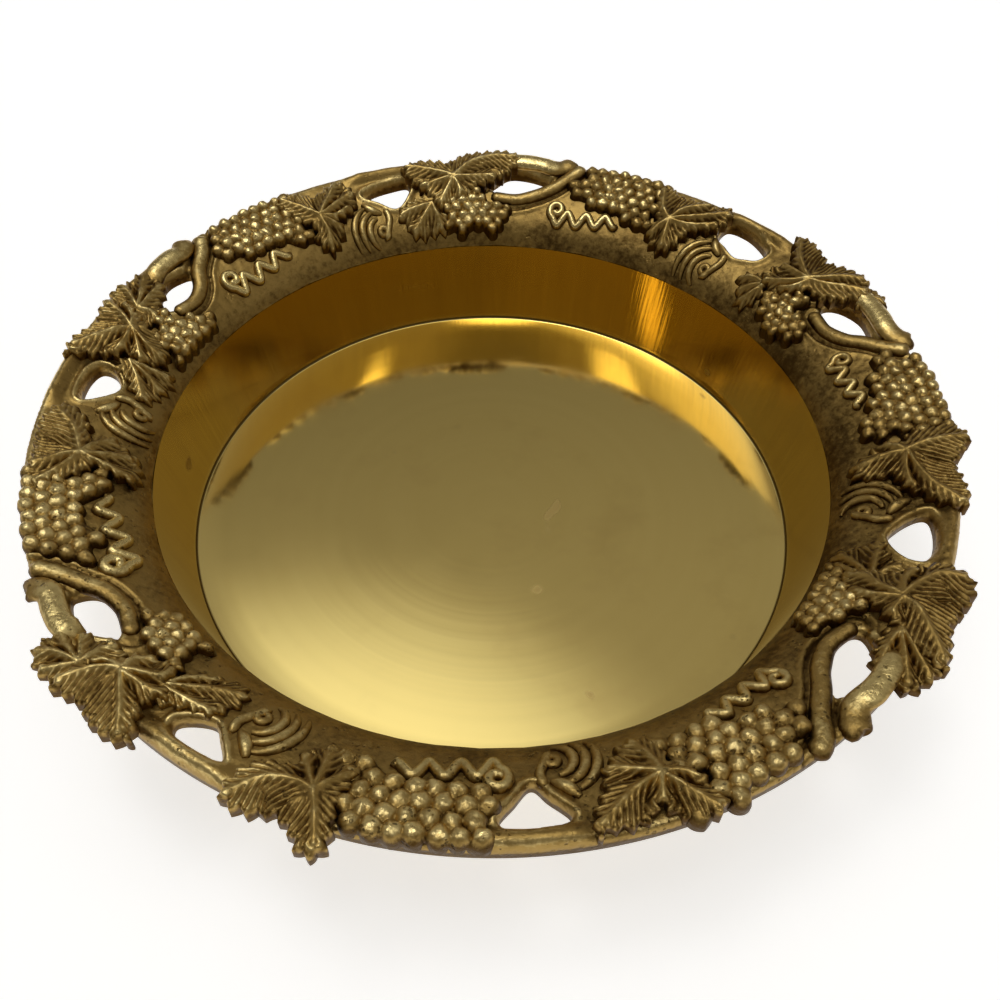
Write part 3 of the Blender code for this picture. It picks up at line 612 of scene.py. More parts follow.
def band_top(points):
    """Height and relief of the band's upper side."""
    share = share_of(points)
    room = edge_room(points)
    groove = stem_groove(points)
    uneven = 0.00014 * lumps(points, 0.006, 3.1) + 0.00010 * lumps(points, 0.0020, 7.7)
    uneven *= np.clip(share * 8, 0, 1)
    raised = rail_lift(points) + SWELL_HEIGHT * rim_swell(points) - GROOVE_DEPTH * groove
    height = band_height(points) + raised - BAND_EDGE * rounded(room, BAND_EDGE) + uneven
    cove = 0.42 - 0.12 * np.clip(1 - share * 5, 0, 1)
    ridge = 0.45 * bell(room, 0.0011, 0.0008)
    return height, cove + ridge - 0.35 * groove + 0.12 * lumps(points, 0.008, 1.3)


def band_bottom(points):
    wall = BAND_WALL - THIN_WALL * np.clip((0.6 - share_of(points)) / 0.2, 0, 1)
    return band_height(points) - wall


band_loops = [ring(MOUTH_RADIUS + 0.0002, 0.0007), ring(edge_radius, 0.0006)] + openings
band_metal = cast_brass(
    "cast_brass", (0.80, 0.61, 0.25), (0.42, 0.275, 0.082), (0.10, 0.055, 0.014), 0.45, 0.7, 0.00020,
)
band = relief_body("border", band_loops, on_band, BAND_PITCH, band_top, band_bottom)
placed("border", band, band_metal, "cast_brass", "border_band")


# Vine stems: round bars modelled in the mould, one bending under every second opening and
# running out to the edge beside the grapes. Cast in one with the band and rubbed bright on top.
STEM_WIDTHS = (0.0038, 0.0047)
STEM_SIDES = 18
STEM_RISE = 0.8
STEM_SUNK = -0.0003
STEM_RELIEF = (0.0002, 0.0019)


def band_normal(points):
    """Direction straight out of the cove and band at plan points."""
    out = points / np.hypot(*points.T)[:, None]
    normal = np.column_stack((-out * band_slope(points)[:, None], np.ones(len(points))))
    return normal / np.linalg.norm(normal, axis=1)[:, None]


def new_tree(name, inputs):
    """Geometry node tree that takes a mesh, named numbers and a material."""
    tree = bpy.data.node_groups.new(name, "GeometryNodeTree")
    tree.interface.new_socket("Geometry", in_out="INPUT", socket_type="NodeSocketGeometry")
    for label, kind, value in inputs:
        tree.interface.new_socket(label, in_out="INPUT", socket_type=kind).default_value = value
    tree.interface.new_socket("Material", in_out="INPUT", socket_type="NodeSocketMaterial")
    tree.interface.new_socket("Geometry", in_out="OUTPUT", socket_type="NodeSocketGeometry")
    wiring = Wiring(tree)
    return tree, wiring, wiring.add("NodeGroupInput").outputs


def stored(wiring, name, kind="FLOAT"):
    return wiring.add("GeometryNodeInputNamedAttribute", {"Name": name}, data_type=kind).outputs[0]


def close_tree(wiring, shape, material):
    """Ends a geometry node tree: plain geometry in one material."""
    solid = wiring.add("GeometryNodeRealizeInstances", {"Geometry": shape}).outputs[0]
    solid = wiring.add("GeometryNodeSetMaterial", {"Geometry": solid, "Material": material}).outputs[0]
    wiring.join(solid, wiring.add("NodeGroupOutput").inputs[0])


def rod_tree():
    """Geometry nodes: sweeps a rounded section along a line that lies on the border."""
    tree, wiring, given = new_tree("border_rod", (
        ("Sides", "NodeSocketInt", STEM_SIDES), ("Rise", "NodeSocketFloat", STEM_RISE),
    ))
    line = wiring.add("GeometryNodeMeshToCurve", {"Mesh": given["Geometry"]}).outputs[0]
    up = stored(wiring, "up", "FLOAT_VECTOR")
    line = wiring.add("GeometryNodeSetCurveNormal", {"Curve": line, "Normal": up}, mode="FREE").outputs[0]
    section = wiring.add("GeometryNodeCurvePrimitiveCircle", {"Resolution": given["Sides"], "Radius": 1.0})
    flat = wiring.add("ShaderNodeCombineXYZ", {0: given["Rise"], 1: 1.0, 2: 1.0}).outputs[0]
    section = wiring.add("GeometryNodeTransform", {"Geometry": section.outputs[0], "Scale": flat})
    swept = wiring.add("GeometryNodeCurveToMesh", {
        "Curve": line, "Profile Curve": section.outputs[0], "Scale": stored(wiring, "half_width"),
        "Fill Caps": True,
    }).outputs[0]
    close_tree(wiring, swept, given["Material"])
    return tree


def line_mesh(runs):
    """Mesh of plain edges along runs of (plan points, half widths, lift above the band)."""
    verts, edges, widths, ups = [], [], [], []
    for points, half_widths, lift in runs:
        first = len(verts)
        heights = band_height(points) + rail_lift(points) * (share_of(points) < RAIL_SHARES[1]) + lift
        verts += np.column_stack((points, heights)).tolist()
        edges += [(first + k, first + k + 1) for k in range(len(points) - 1)]
        widths += list(half_widths)
        ups += band_normal(points).tolist()
    mesh = bpy.data.meshes.new("line")
    mesh.from_pydata(verts, edges, [])
    mesh.attributes.new("half_width", "FLOAT", "POINT").data.foreach_set("value", widths)
    mesh.attributes.new("up", "FLOAT_VECTOR", "POINT").data.foreach_set("vector", np.ravel(ups))
    return mesh


def grown_mesh(name, mesh, tree, inputs):
    """Runs a geometry node tree on a mesh and returns the plain mesh that it makes."""
    source = bpy.data.objects.new(name, mesh)
    bpy.context.scene.collection.objects.link(source)
    modifier = source.modifiers.new(name, "NODES")
    modifier.node_group = tree
    for item in tree.interface.items_tree:
        if item.in_out == "INPUT" and item.name in inputs:
            modifier[item.identifier] = inputs[item.name]
    graph = bpy.context.evaluated_depsgraph_get()
    made = bpy.data.meshes.new_from_object(source.evaluated_get(graph))
    source.modifiers.clear()
    bpy.data.objects.remove(source)
    made.name = name
    work = bmesh.new()
    work.from_mesh(made)
    bmesh.ops.remove_doubles(work, verts=work.verts, dist=0.000001)
    bmesh.ops.recalc_face_normals(work, faces=work.faces)
    bpy.data.meshes.remove(made)
    return mesh_of(name, work, 60)


def corner_places(mesh):
    flat = np.empty(len(mesh.vertices) * 3)
    mesh.vertices.foreach_get("co", flat)
    return flat.reshape(-1, 3)


def relief_by_height(mesh, low, high):
    """Relief from how far each point stands above the band."""
    corners = corner_places(mesh)
    above = (corners[:, 2] - band_height(corners[:, :2])) / np.hypot(1, band_slope(corners[:, :2]))
    store_relief(mesh, (above - low) / (high - low))


def tapered(count, start, end, blunt=4):
    """Half widths from start to end, rounded off at both tips."""
    widths = np.linspace(start, end, count) / 2
    for k in range(min(blunt, count // 2)):
        share = 0.45 + 0.55 * math.sin(math.pi / 2 * (k + 0.3) / blunt)
        widths[k] *= share
        widths[-1 - k] *= share
    return widths


def place_rods(name, node, runs, sides, rise, span):
    """Sweeps runs of bars, marks how high they stand and puts them on the dish as vine."""
    inputs = {"Sides": sides, "Rise": rise, "Material": vine_metal}
    mesh = grown_mesh(name, line_mesh(runs), rods, inputs)
    relief_by_height(mesh, *span)
    placed(name, mesh, vine_metal, "vine_brass", node)


rods = rod_tree()
vine_metal = cast_brass(
    "vine_brass", (0.84, 0.66, 0.28), (0.44, 0.29, 0.088), (0.10, 0.052, 0.012), 0.55, 0.9, 0.00026,
)
for number, line in enumerate(stems, 1):
    wobble = 1 + 0.05 * lumps(line, 0.005, number)
    run = (line, tapered(len(line), *STEM_WIDTHS) * wobble, STEM_SUNK)
    place_rods(f"stem_{number}", f"vine_stem_{number}", [run], STEM_SIDES, STEM_RISE, STEM_RELIEF)


# Cut twigs: short round twigs over the same openings, each ending in a rounded knob that
# stands out past the edge of the border.
TWIG_SHARES = (
    ((25.0, 0.70), (22.0, 0.725), (19.0, 0.715), (16.5, 0.70), (14.6, 0.735), (13.2, 0.80), (13.0, 0.83)),
    ((89.4, 0.69), (86.5, 0.715), (83.4, 0.705), (80.6, 0.69), (78.6, 0.73), (77.3, 0.79), (77.1, 0.81)),
    ((154.0, 0.62), (151.0, 0.67), (148.2, 0.68), (146.0, 0.68), (144.9, 0.71), (143.8, 0.76),
     (143.6, 0.78)),
    ((219.2, 0.66), (217.0, 0.71), (214.6, 0.71), (212.4, 0.70), (211.0, 0.74), (210.1, 0.80),
     (210.0, 0.83)),
    ((320.0, 0.64), (317.0, 0.70), (313.4, 0.715), (311.0, 0.70), (309.6, 0.75), (308.5, 0.81),
     (308.4, 0.84)),
)
TWIG_WIDTH = 0.0056
TWIG_SIDES = 22
TWIG_RISE = 0.60
TWIG_SUNK = -0.0002
TWIG_RELIEF = (0.0, 0.0026)
KNOB_WIDTH = 0.0067
KNOB_LENGTH = 0.0065
KNOB_STEPS = 7

for number, corners in enumerate(TWIG_SHARES, 1):
    line = curve_on_dish(corners, LINE_STEP, False)
    widths = np.full(len(line), TWIG_WIDTH / 2) * (1 + 0.06 * lumps(line, 0.004, number + 20))
    knob = np.clip(1 - np.linspace(len(line) * LINE_STEP, 0, len(line)) / KNOB_LENGTH, 0, 1)
    widths += (KNOB_WIDTH - TWIG_WIDTH) / 2 * np.sin(math.pi / 2 * knob) ** 2
    for k in range(KNOB_STEPS):
        widths[-1 - k] *= math.sqrt(1 - (1 - (k + 0.35) / (KNOB_STEPS + 0.35)) ** 2)
        widths[k] *= 0.6 + 0.4 * k / KNOB_STEPS
    run = (line, widths, TWIG_SUNK)
    place_rods(f"twig_{number}", f"cut_twig_{number}", [run], TWIG_SIDES, TWIG_RISE, TWIG_RELIEF)


# Spiral tendrils: a bar runs from the rim of each first opening into a small ring, with three
# crescents beside it and a bean-shaped bar outside it. All are modelled on the border.
SPIRALS = ((47.0, 0.15), (112.3, 0.14), (178.0, 0.13), (241.9, 0.28), (277.6, 0.21), (342.7, 0.18))
RIBBON_WIDTH = 0.0021
RIBBON_SIDES = 12
RIBBON_STEP = 0.0003
SPIRAL_RISE = 1.05
SPIRAL_RELIEF = (0.0, 0.0015)
SPIRAL_TURNS = 1.1
# Radius, and the angles where it starts and ends, of each crescent.
CRESCENTS = ((0.0039, 176, 8), (0.0061, 138, 14), (0.0083, 122, 24))
# Towards the next leaf and outwards from the middle of the ring.
BAR = ((-0.0021, 0.0012), (-0.0030, 0.0035), (-0.0026, 0.0062))
BEAN = ((-0.0013, 0.0050), (0.0012, 0.0066), (0.0034, 0.0092))
BEAN_HALF_WIDTH = 0.00145
BEAN_SUNK = -0.0002


def axes_at(degrees, share):
    """Centre, direction towards the next leaf and outward direction at a place on the border."""
    centre = plan(degrees, share)
    out = centre / np.hypot(*centre)
    return centre, np.array((-out[1], out[0])), out


def laid(axes, leafward, outward):
    """Plan points from distances towards the leaf and outwards."""
    centre, leaf, out = axes
    return centre + np.multiply.outer(leafward, leaf) + np.multiply.outer(outward, out)


def spiral_runs(degrees, share):
    axes = axes_at(degrees, share)
    turns = np.linspace(0.0, SPIRAL_TURNS, 40)
    reach = 0.0005 + 0.0010 * turns
    angle = 2 * math.pi * (SPIRAL_TURNS - turns) + math.radians(200)
    ring_points = laid(axes, np.sin(angle) * reach, np.cos(angle) * reach)
    bar = [ring_points[-1]] + [laid(axes, *place) for place in BAR]
    line = np.vstack((ring_points, curve_through(bar, RIBBON_STEP, False)[1:]))
    runs = [(line, tapered(len(line), RIBBON_WIDTH * 0.85, RIBBON_WIDTH * 1.1, 5), 0.0)]
    for radius, start, end in CRESCENTS:
        angle = np.radians(np.linspace(start, end, 30))
        crescent = laid(axes, np.sin(angle) * radius, np.cos(angle) * radius)
        crescent = crescent[share_of(crescent) > 0.035]
        swell = np.sin(np.linspace(0.12, math.pi - 0.25, len(crescent))) ** 0.7
        runs.append((crescent, RIBBON_WIDTH * 0.55 * (0.25 + 0.75 * swell), 0.0))
    bean = curve_through([laid(axes, *place) for place in BEAN], RIBBON_STEP, False)
    swell = np.sin(np.linspace(0.28, math.pi - 0.28, len(bean))) ** 0.6
    runs.append((bean, BEAN_HALF_WIDTH * swell, BEAN_SUNK))
    return runs


for number, spot in enumerate(SPIRALS, 1):
    name, node, runs = f"spiral_{number}", f"spiral_tendril_{number}", spiral_runs(*spot)
    place_rods(name, node, runs, RIBBON_SIDES, SPIRAL_RISE, SPIRAL_RELIEF)


# Curl tendrils: a small ring that runs on into sharp waves along the lower side of the grapes.
# Each is an angle, a share and a size.
CURLS = (
    (14.0, 0.30, 1.0), (78.3, 0.26, 1.15), (143.5, 0.25, 1.2),
    (209.3, 0.30, 1.3), (270.8, 0.34, 1.2), (308.5, 0.27, 1.05),
)
CURL_TURNS = 1.2
CURL_RISE = 1.3
CURL_RELIEF = (0.0, 0.0016)
WAVES = 3.4
WAVE_LENGTH = 0.0049
WAVE_SWING = 0.0016
WAVE_SHARPNESS = 0.75


def curl_runs(degrees, share, size):
    axes = axes_at(degrees, share)
    turns = np.linspace(0.0, CURL_TURNS, 40)
    reach = size * (0.0006 + 0.0012 * turns)
    angle = 2 * math.pi * (turns - CURL_TURNS) - math.radians(110)
    ring_points = laid(axes, -np.cos(angle) * reach, np.sin(angle) * reach)
    run = np.linspace(0.0006, WAVE_LENGTH * WAVES, 80)
    beat = -np.arcsin(WAVE_SHARPNESS * np.sin(2 * math.pi * run / WAVE_LENGTH)) / math.asin(WAVE_SHARPNESS)
    swing = size * WAVE_SWING * beat * (1 - 0.08 * run / WAVE_LENGTH)
    start = (ring_points[-1] - axes[0]) @ np.column_stack(axes[1:])
    line = np.vstack((ring_points, laid(axes, start[0] - size * run, start[1] + swing)))
    return [(line, tapered(len(line), RIBBON_WIDTH * size, RIBBON_WIDTH * 1.2, 5), 0.0)]


for number, spot in enumerate(CURLS, 1):
    name, node, runs = f"curl_{number}", f"curl_tendril_{number}", curl_runs(*spot)
    place_rods(name, node, runs, RIBBON_SIDES, CURL_RISE, CURL_RELIEF)


# Leaves: vine leaves modelled in the mould with a round rib along each lobe, side veins in a
# herringbone and a thick, toothed edge that overhangs the border. A large leaf lies over a side
# leaf towards the twig and a back leaf away from it. Each is an outline and its ribs.
LARGE_LEAVES = (
    (
        ((35.8, 0.25), (37.0, 0.34), (36.0, 0.46), (34.9, 0.51), (36.4, 0.62), (38.1, 0.75), (36.2, 0.81),
         (33.3, 0.78), (31.0, 0.75), (28.5, 0.81), (25.9, 0.85), (23.3, 0.80), (22.4, 0.70), (23.3, 0.60),
         (24.7, 0.50), (26.5, 0.43), (28.6, 0.42), (30.0, 0.33), (32.3, 0.26)),
        (((30.4, 0.47), (32.3, 0.36), (35.3, 0.27)), ((30.4, 0.48), (28.9, 0.57), (27.3, 0.70),
         (25.6, 0.81)), ((30.2, 0.47), (27.6, 0.54), (25.4, 0.65), (23.4, 0.74)), ((30.5, 0.48),
         (32.8, 0.53), (35.3, 0.62), (37.4, 0.76)), ((30.6, 0.47), (32.8, 0.46), (35.0, 0.46)),
         ((30.1, 0.45), (30.9, 0.34), (32.6, 0.28))),
    ),
    (
        ((105.7, 0.66), (103.5, 0.71), (100.5, 0.71), (97.8, 0.70), (95.5, 0.75), (92.5, 0.78),
         (89.0, 0.80), (86.5, 0.76), (85.8, 0.69), (87.2, 0.58), (89.5, 0.47), (92.4, 0.41), (94.6, 0.35),
         (96.2, 0.28), (98.0, 0.26), (100.5, 0.20), (101.6, 0.29), (103.2, 0.39), (104.6, 0.49),
         (105.5, 0.58)),
        (((97.4, 0.48), (100.8, 0.56), (104.9, 0.66)), ((97.4, 0.48), (94.2, 0.63), (90.6, 0.71),
         (87.0, 0.72)), ((97.6, 0.46), (98.9, 0.35), (100.5, 0.23)), ((97.2, 0.47), (94.1, 0.47),
         (90.6, 0.49)), ((97.9, 0.47), (100.5, 0.44), (103.1, 0.42)), ((97.4, 0.45), (96.7, 0.37),
         (96.5, 0.30))),
    ),
    (
        ((172.0, 0.74), (169.0, 0.75), (166.3, 0.70), (164.2, 0.70), (162.0, 0.74), (160.2, 0.73),
         (159.3, 0.62), (160.1, 0.50), (161.0, 0.42), (162.0, 0.33), (162.9, 0.23), (164.4, 0.14),
         (166.5, 0.12), (168.4, 0.19), (168.8, 0.28), (168.2, 0.36), (169.6, 0.43), (170.6, 0.54),
         (171.4, 0.66)),
        (((163.7, 0.42), (165.2, 0.50), (167.3, 0.58), (170.0, 0.70)), ((163.6, 0.43), (162.1, 0.55),
         (161.1, 0.69)), ((163.8, 0.41), (165.3, 0.28), (165.9, 0.15)), ((163.6, 0.43), (161.9, 0.47),
         (160.2, 0.57)), ((163.8, 0.42), (166.4, 0.41), (168.7, 0.42)), ((163.8, 0.41), (166.1, 0.32),
         (168.1, 0.26))),
    ),
    (
        ((223.2, 0.88), (223.1, 0.77), (223.5, 0.65), (225.1, 0.56), (225.6, 0.46), (227.9, 0.38),
         (230.4, 0.34), (230.6, 0.43), (232.6, 0.52), (231.6, 0.62), (233.0, 0.77), (233.9, 0.86),
         (232.2, 0.91), (229.5, 0.92), (227.0, 0.89), (225.3, 0.92), (223.6, 0.95)),
        (((226.5, 0.60), (225.2, 0.67), (224.3, 0.78), (223.8, 0.89)), ((226.8, 0.60), (228.9, 0.68),
         (230.9, 0.76), (232.8, 0.86)), ((226.8, 0.59), (228.6, 0.52), (230.0, 0.46), (230.2, 0.38)),
         ((226.6, 0.58), (226.4, 0.50), (227.4, 0.42)), ((226.4, 0.60), (224.9, 0.62), (223.9, 0.67)),
         ((227.2, 0.60), (229.3, 0.58), (231.9, 0.55))),
    ),
    (
        ((328.8, 0.17), (329.8, 0.27), (330.1, 0.36), (330.6, 0.47), (332.3, 0.56), (333.4, 0.68),
         (332.9, 0.82), (331.6, 0.91), (329.5, 0.91), (327.3, 0.89), (325.0, 0.87), (322.5, 0.92),
         (319.7, 0.95), (320.3, 0.79), (321.7, 0.63), (323.2, 0.52), (324.5, 0.42), (324.7, 0.27),
         (326.8, 0.19)),
        (((326.7, 0.53), (327.3, 0.40), (328.4, 0.29), (328.7, 0.20)), ((326.8, 0.53), (329.5, 0.60),
         (331.5, 0.69), (332.1, 0.84)), ((326.4, 0.54), (325.5, 0.64), (323.4, 0.76), (320.8, 0.91)),
         ((327.2, 0.53), (329.3, 0.51), (331.2, 0.54)), ((326.2, 0.54), (324.5, 0.53), (323.4, 0.54)),
         ((326.3, 0.52), (325.7, 0.40), (325.7, 0.28))),
    ),
)
SIDE_LEAVES = (
    (
        ((23.8, 0.64), (25.0, 0.74), (24.0, 0.84), (22.1, 0.87), (20.3, 0.83), (19.6, 0.73), (20.6, 0.65),
         (22.2, 0.63)),
        (((23.9, 0.68), (22.4, 0.76), (21.0, 0.83)), ((23.9, 0.67), (21.7, 0.69), (20.0, 0.72))),
    ),
    (),
    (
        ((160.0, 0.73), (158.3, 0.79), (155.8, 0.76), (153.3, 0.74), (152.4, 0.65), (152.6, 0.54),
         (154.0, 0.47), (156.4, 0.42), (157.8, 0.36), (159.4, 0.33), (161.2, 0.40), (161.6, 0.52),
         (161.0, 0.64)),
        (((159.2, 0.52), (157.4, 0.66), (156.7, 0.76)), ((159.1, 0.52), (155.9, 0.60), (153.4, 0.68)),
         ((159.0, 0.50), (155.7, 0.52), (153.4, 0.53)), ((159.1, 0.49), (158.7, 0.42), (159.0, 0.36))),
    ),
    (
        ((222.9, 0.93), (221.0, 0.96), (219.2, 0.95), (217.9, 0.88), (217.5, 0.79), (218.2, 0.68),
         (219.6, 0.61), (221.6, 0.56), (223.3, 0.50), (225.0, 0.56), (225.2, 0.70), (224.4, 0.84)),
        (((222.7, 0.75), (220.4, 0.81), (218.9, 0.89)), ((222.7, 0.75), (219.9, 0.75), (218.3, 0.74)),
         ((222.7, 0.74), (220.7, 0.68), (219.4, 0.65)), ((222.8, 0.73), (222.5, 0.61), (222.8, 0.53)),
         ((222.8, 0.77), (222.0, 0.85), (221.3, 0.93))),
    ),
    (
        ((323.4, 0.57), (320.4, 0.54), (318.6, 0.56), (316.1, 0.61), (315.2, 0.68), (315.4, 0.80),
         (316.0, 0.88), (318.0, 0.92), (320.2, 0.93), (322.2, 0.82), (323.6, 0.68)),
        (((322.3, 0.62), (319.9, 0.70), (316.6, 0.82)), ((322.2, 0.62), (319.7, 0.61), (317.1, 0.63)),
         ((322.3, 0.63), (320.4, 0.76), (318.6, 0.90))),
    ),
)
BACK_LEAVES = (
    (
        ((40.2, 0.20), (39.6, 0.28), (38.0, 0.32), (36.4, 0.34), (35.0, 0.29), (34.2, 0.18), (35.3, 0.07),
         (37.0, 0.05), (38.4, 0.09), (38.9, 0.14)),
        (((35.4, 0.26), (36.2, 0.15), (36.9, 0.08)), ((35.4, 0.26), (37.5, 0.26), (39.9, 0.23)),
         ((35.4, 0.26), (37.3, 0.19), (38.6, 0.12))),
    ),
    (
        ((108.6, 0.20), (108.2, 0.27), (106.2, 0.33), (103.4, 0.38), (101.5, 0.34), (100.0, 0.21),
         (98.6, 0.12), (99.8, 0.06), (102.4, 0.05), (105.0, 0.04), (107.0, 0.07), (107.4, 0.12)),
        (((102.0, 0.27), (104.3, 0.15), (106.2, 0.07)), ((102.0, 0.27), (101.2, 0.15), (100.8, 0.08)),
         ((102.0, 0.27), (105.0, 0.25), (108.0, 0.22))),
    ),
    (
        ((171.3, 0.39), (169.0, 0.38), (167.9, 0.28), (167.9, 0.17), (167.0, 0.09), (167.8, 0.04),
         (170.0, 0.04), (172.5, 0.06), (175.2, 0.11), (175.4, 0.17), (174.3, 0.24), (172.6, 0.30)),
        (((169.2, 0.32), (172.1, 0.21), (174.8, 0.14)), ((169.2, 0.32), (170.5, 0.16), (171.6, 0.07)),
         ((169.2, 0.32), (168.8, 0.17), (168.1, 0.07))),
    ),
    (
        ((230.2, 0.50), (230.3, 0.36), (231.8, 0.27), (233.7, 0.20), (236.0, 0.15), (238.0, 0.19),
         (238.8, 0.27), (238.2, 0.38), (237.4, 0.46), (235.2, 0.50), (233.2, 0.56), (231.4, 0.60)),
        (((230.6, 0.48), (232.7, 0.39), (235.1, 0.29), (237.9, 0.22)), ((230.6, 0.49), (233.9, 0.46),
         (237.0, 0.43)), ((230.6, 0.47), (231.6, 0.35), (233.5, 0.24))),
    ),
    (
        ((333.2, 0.05), (334.8, 0.08), (335.1, 0.16), (336.0, 0.25), (336.4, 0.33), (334.8, 0.37),
         (333.2, 0.45), (332.0, 0.51), (329.8, 0.48), (328.9, 0.36), (328.5, 0.25), (329.0, 0.15),
         (331.0, 0.08)),
        (((329.2, 0.33), (332.2, 0.31), (335.6, 0.30)), ((329.2, 0.32), (331.4, 0.21), (333.5, 0.10)),
         ((329.2, 0.34), (331.3, 0.40), (332.1, 0.46)), ((329.2, 0.31), (330.1, 0.20), (331.6, 0.10))),
    ),
)
SINGLE_LEAVES = (
    (
        ((61.1, 0.45), (62.0, 0.60), (61.0, 0.69), (58.7, 0.66), (55.7, 0.64), (52.4, 0.67), (50.2, 0.71),
         (48.8, 0.65), (48.6, 0.57), (49.4, 0.45), (52.0, 0.36), (53.5, 0.28), (54.3, 0.17), (56.0, 0.10),
         (58.4, 0.12), (60.1, 0.17), (60.4, 0.25), (60.0, 0.34)),
        (((57.6, 0.34), (55.3, 0.41), (52.8, 0.49), (49.6, 0.63)), ((57.6, 0.35), (55.9, 0.50),
         (53.1, 0.63)), ((57.7, 0.35), (59.7, 0.44), (61.0, 0.62)), ((57.5, 0.33), (57.0, 0.22),
         (56.6, 0.13)), ((57.4, 0.34), (53.9, 0.36), (50.2, 0.47)), ((57.7, 0.33), (58.7, 0.26),
         (59.5, 0.18))),
    ),
    (
        ((128.1, 0.60), (127.0, 0.66), (124.2, 0.67), (121.6, 0.58), (119.5, 0.62), (117.0, 0.65),
         (115.4, 0.58), (115.3, 0.42), (117.0, 0.32), (119.5, 0.27), (119.4, 0.19), (120.8, 0.13),
         (123.1, 0.07), (124.6, 0.11), (125.5, 0.20), (124.6, 0.28), (126.6, 0.40), (127.6, 0.50)),
        (((122.6, 0.33), (124.5, 0.45), (127.0, 0.63)), ((122.5, 0.34), (119.9, 0.39), (116.2, 0.47)),
         ((122.4, 0.33), (120.1, 0.30), (117.6, 0.34)), ((122.5, 0.32), (121.3, 0.26), (119.9, 0.20)),
         ((122.7, 0.32), (122.7, 0.19), (123.4, 0.10)), ((122.5, 0.35), (120.3, 0.46), (117.6, 0.61))),
    ),
    (
        ((181.8, 0.64), (180.6, 0.56), (182.0, 0.45), (184.0, 0.38), (186.0, 0.37), (185.3, 0.24),
         (186.5, 0.15), (188.4, 0.06), (190.8, 0.05), (193.4, 0.08), (192.8, 0.21), (191.8, 0.32),
         (193.6, 0.41), (194.5, 0.55), (195.7, 0.68), (193.1, 0.72), (190.0, 0.70), (187.0, 0.70),
         (184.2, 0.70)),
        (((189.9, 0.39), (187.5, 0.42), (185.0, 0.47), (182.0, 0.60)), ((190.0, 0.40), (190.5, 0.50),
         (191.4, 0.60), (191.9, 0.68)), ((189.9, 0.38), (189.7, 0.28), (188.8, 0.12)), ((190.0, 0.38),
         (190.9, 0.30), (192.6, 0.12)), ((189.8, 0.39), (188.0, 0.32), (186.4, 0.22)), ((190.1, 0.40),
         (192.6, 0.50), (194.8, 0.64))),
    ),
    (
        ((251.7, 0.29), (253.6, 0.30), (254.6, 0.38), (255.9, 0.46), (255.6, 0.60), (255.6, 0.76),
         (255.9, 0.88), (255.2, 0.96), (253.6, 0.96), (252.0, 0.87), (250.1, 0.82), (248.0, 0.86),
         (246.0, 0.87), (244.6, 0.83), (244.4, 0.74), (245.3, 0.60), (247.0, 0.52), (249.0, 0.49),
         (249.3, 0.40), (250.4, 0.34)),
        (((252.6, 0.62), (250.5, 0.60), (247.4, 0.65), (245.3, 0.81)), ((252.7, 0.63), (253.4, 0.70),
         (254.2, 0.80), (254.8, 0.90)), ((252.6, 0.61), (252.4, 0.50), (252.0, 0.33)), ((252.5, 0.61),
         (251.0, 0.51), (249.9, 0.44)), ((252.7, 0.61), (254.0, 0.52), (255.0, 0.46))),
    ),
    (
        ((285.2, 0.23), (287.3, 0.19), (289.5, 0.24), (290.1, 0.35), (289.9, 0.42), (291.6, 0.51),
         (292.5, 0.64), (292.8, 0.76), (291.8, 0.82), (289.6, 0.81), (287.5, 0.74), (286.6, 0.67),
         (285.6, 0.73), (283.6, 0.76), (281.6, 0.75), (279.9, 0.77), (280.4, 0.62), (281.8, 0.50),
         (282.2, 0.42), (282.8, 0.36), (283.9, 0.31)),
        (((288.1, 0.49), (286.2, 0.52), (283.7, 0.58), (280.6, 0.71)), ((288.2, 0.49), (289.6, 0.62),
         (291.6, 0.79)), ((288.2, 0.48), (288.0, 0.38), (287.1, 0.23)), ((288.1, 0.50), (287.5, 0.58),
         (287.0, 0.65)), ((288.3, 0.49), (290.2, 0.52), (291.4, 0.58)), ((288.0, 0.48), (285.5, 0.42),
         (283.4, 0.36))),
    ),
    (
        ((351.2, 0.10), (353.0, 0.18), (354.5, 0.29), (354.0, 0.40), (356.3, 0.48), (356.6, 0.62),
         (356.7, 0.76), (354.5, 0.86), (352.4, 0.80), (350.0, 0.74), (347.5, 0.77), (345.0, 0.80),
         (342.9, 0.77), (343.4, 0.63), (344.8, 0.52), (345.6, 0.42), (348.1, 0.34), (348.0, 0.21),
         (349.2, 0.11)),
        (((352.1, 0.42), (351.7, 0.27), (350.8, 0.13)), ((352.2, 0.42), (353.3, 0.54), (354.0, 0.69),
         (354.3, 0.83)), ((352.0, 0.43), (349.4, 0.47), (346.2, 0.57), (343.6, 0.75)), ((351.9, 0.42),
         (348.5, 0.41), (346.2, 0.44)), ((352.3, 0.41), (353.5, 0.34), (353.8, 0.28))),
    ),
)
LEAF_PITCH = 0.00022
OUTLINE_STEP = 0.00025
TOOTH_PITCH = 0.0030
TOOTH_DEPTH = 0.0011
RIB_STEP = 0.0006
RIB_HALF_WIDTH = 0.00078
RIB_HEIGHT = 0.00068
SIDE_GROOVE_DEPTH = 0.00012
VEIN_PITCH = 0.0018
VEIN_LEAN = 1.35
VEIN_HEIGHT = 0.00021
VALLEY_DEPTH = 0.0003
LEAF_EDGE = (0.0009, 0.0008)
LEAF_LUMPS = 0.00016
LEAF_SAG = 0.010
LEAF_SUNK = 0.0003
LEAF_OVERHANG = 0.0010
# A deep pit in the casting, between a large leaf and its side leaf.
PIT_PLACE = (322.1, 0.50)
PIT_RADIUS = 0.0013
PIT_DEPTH = 0.0024


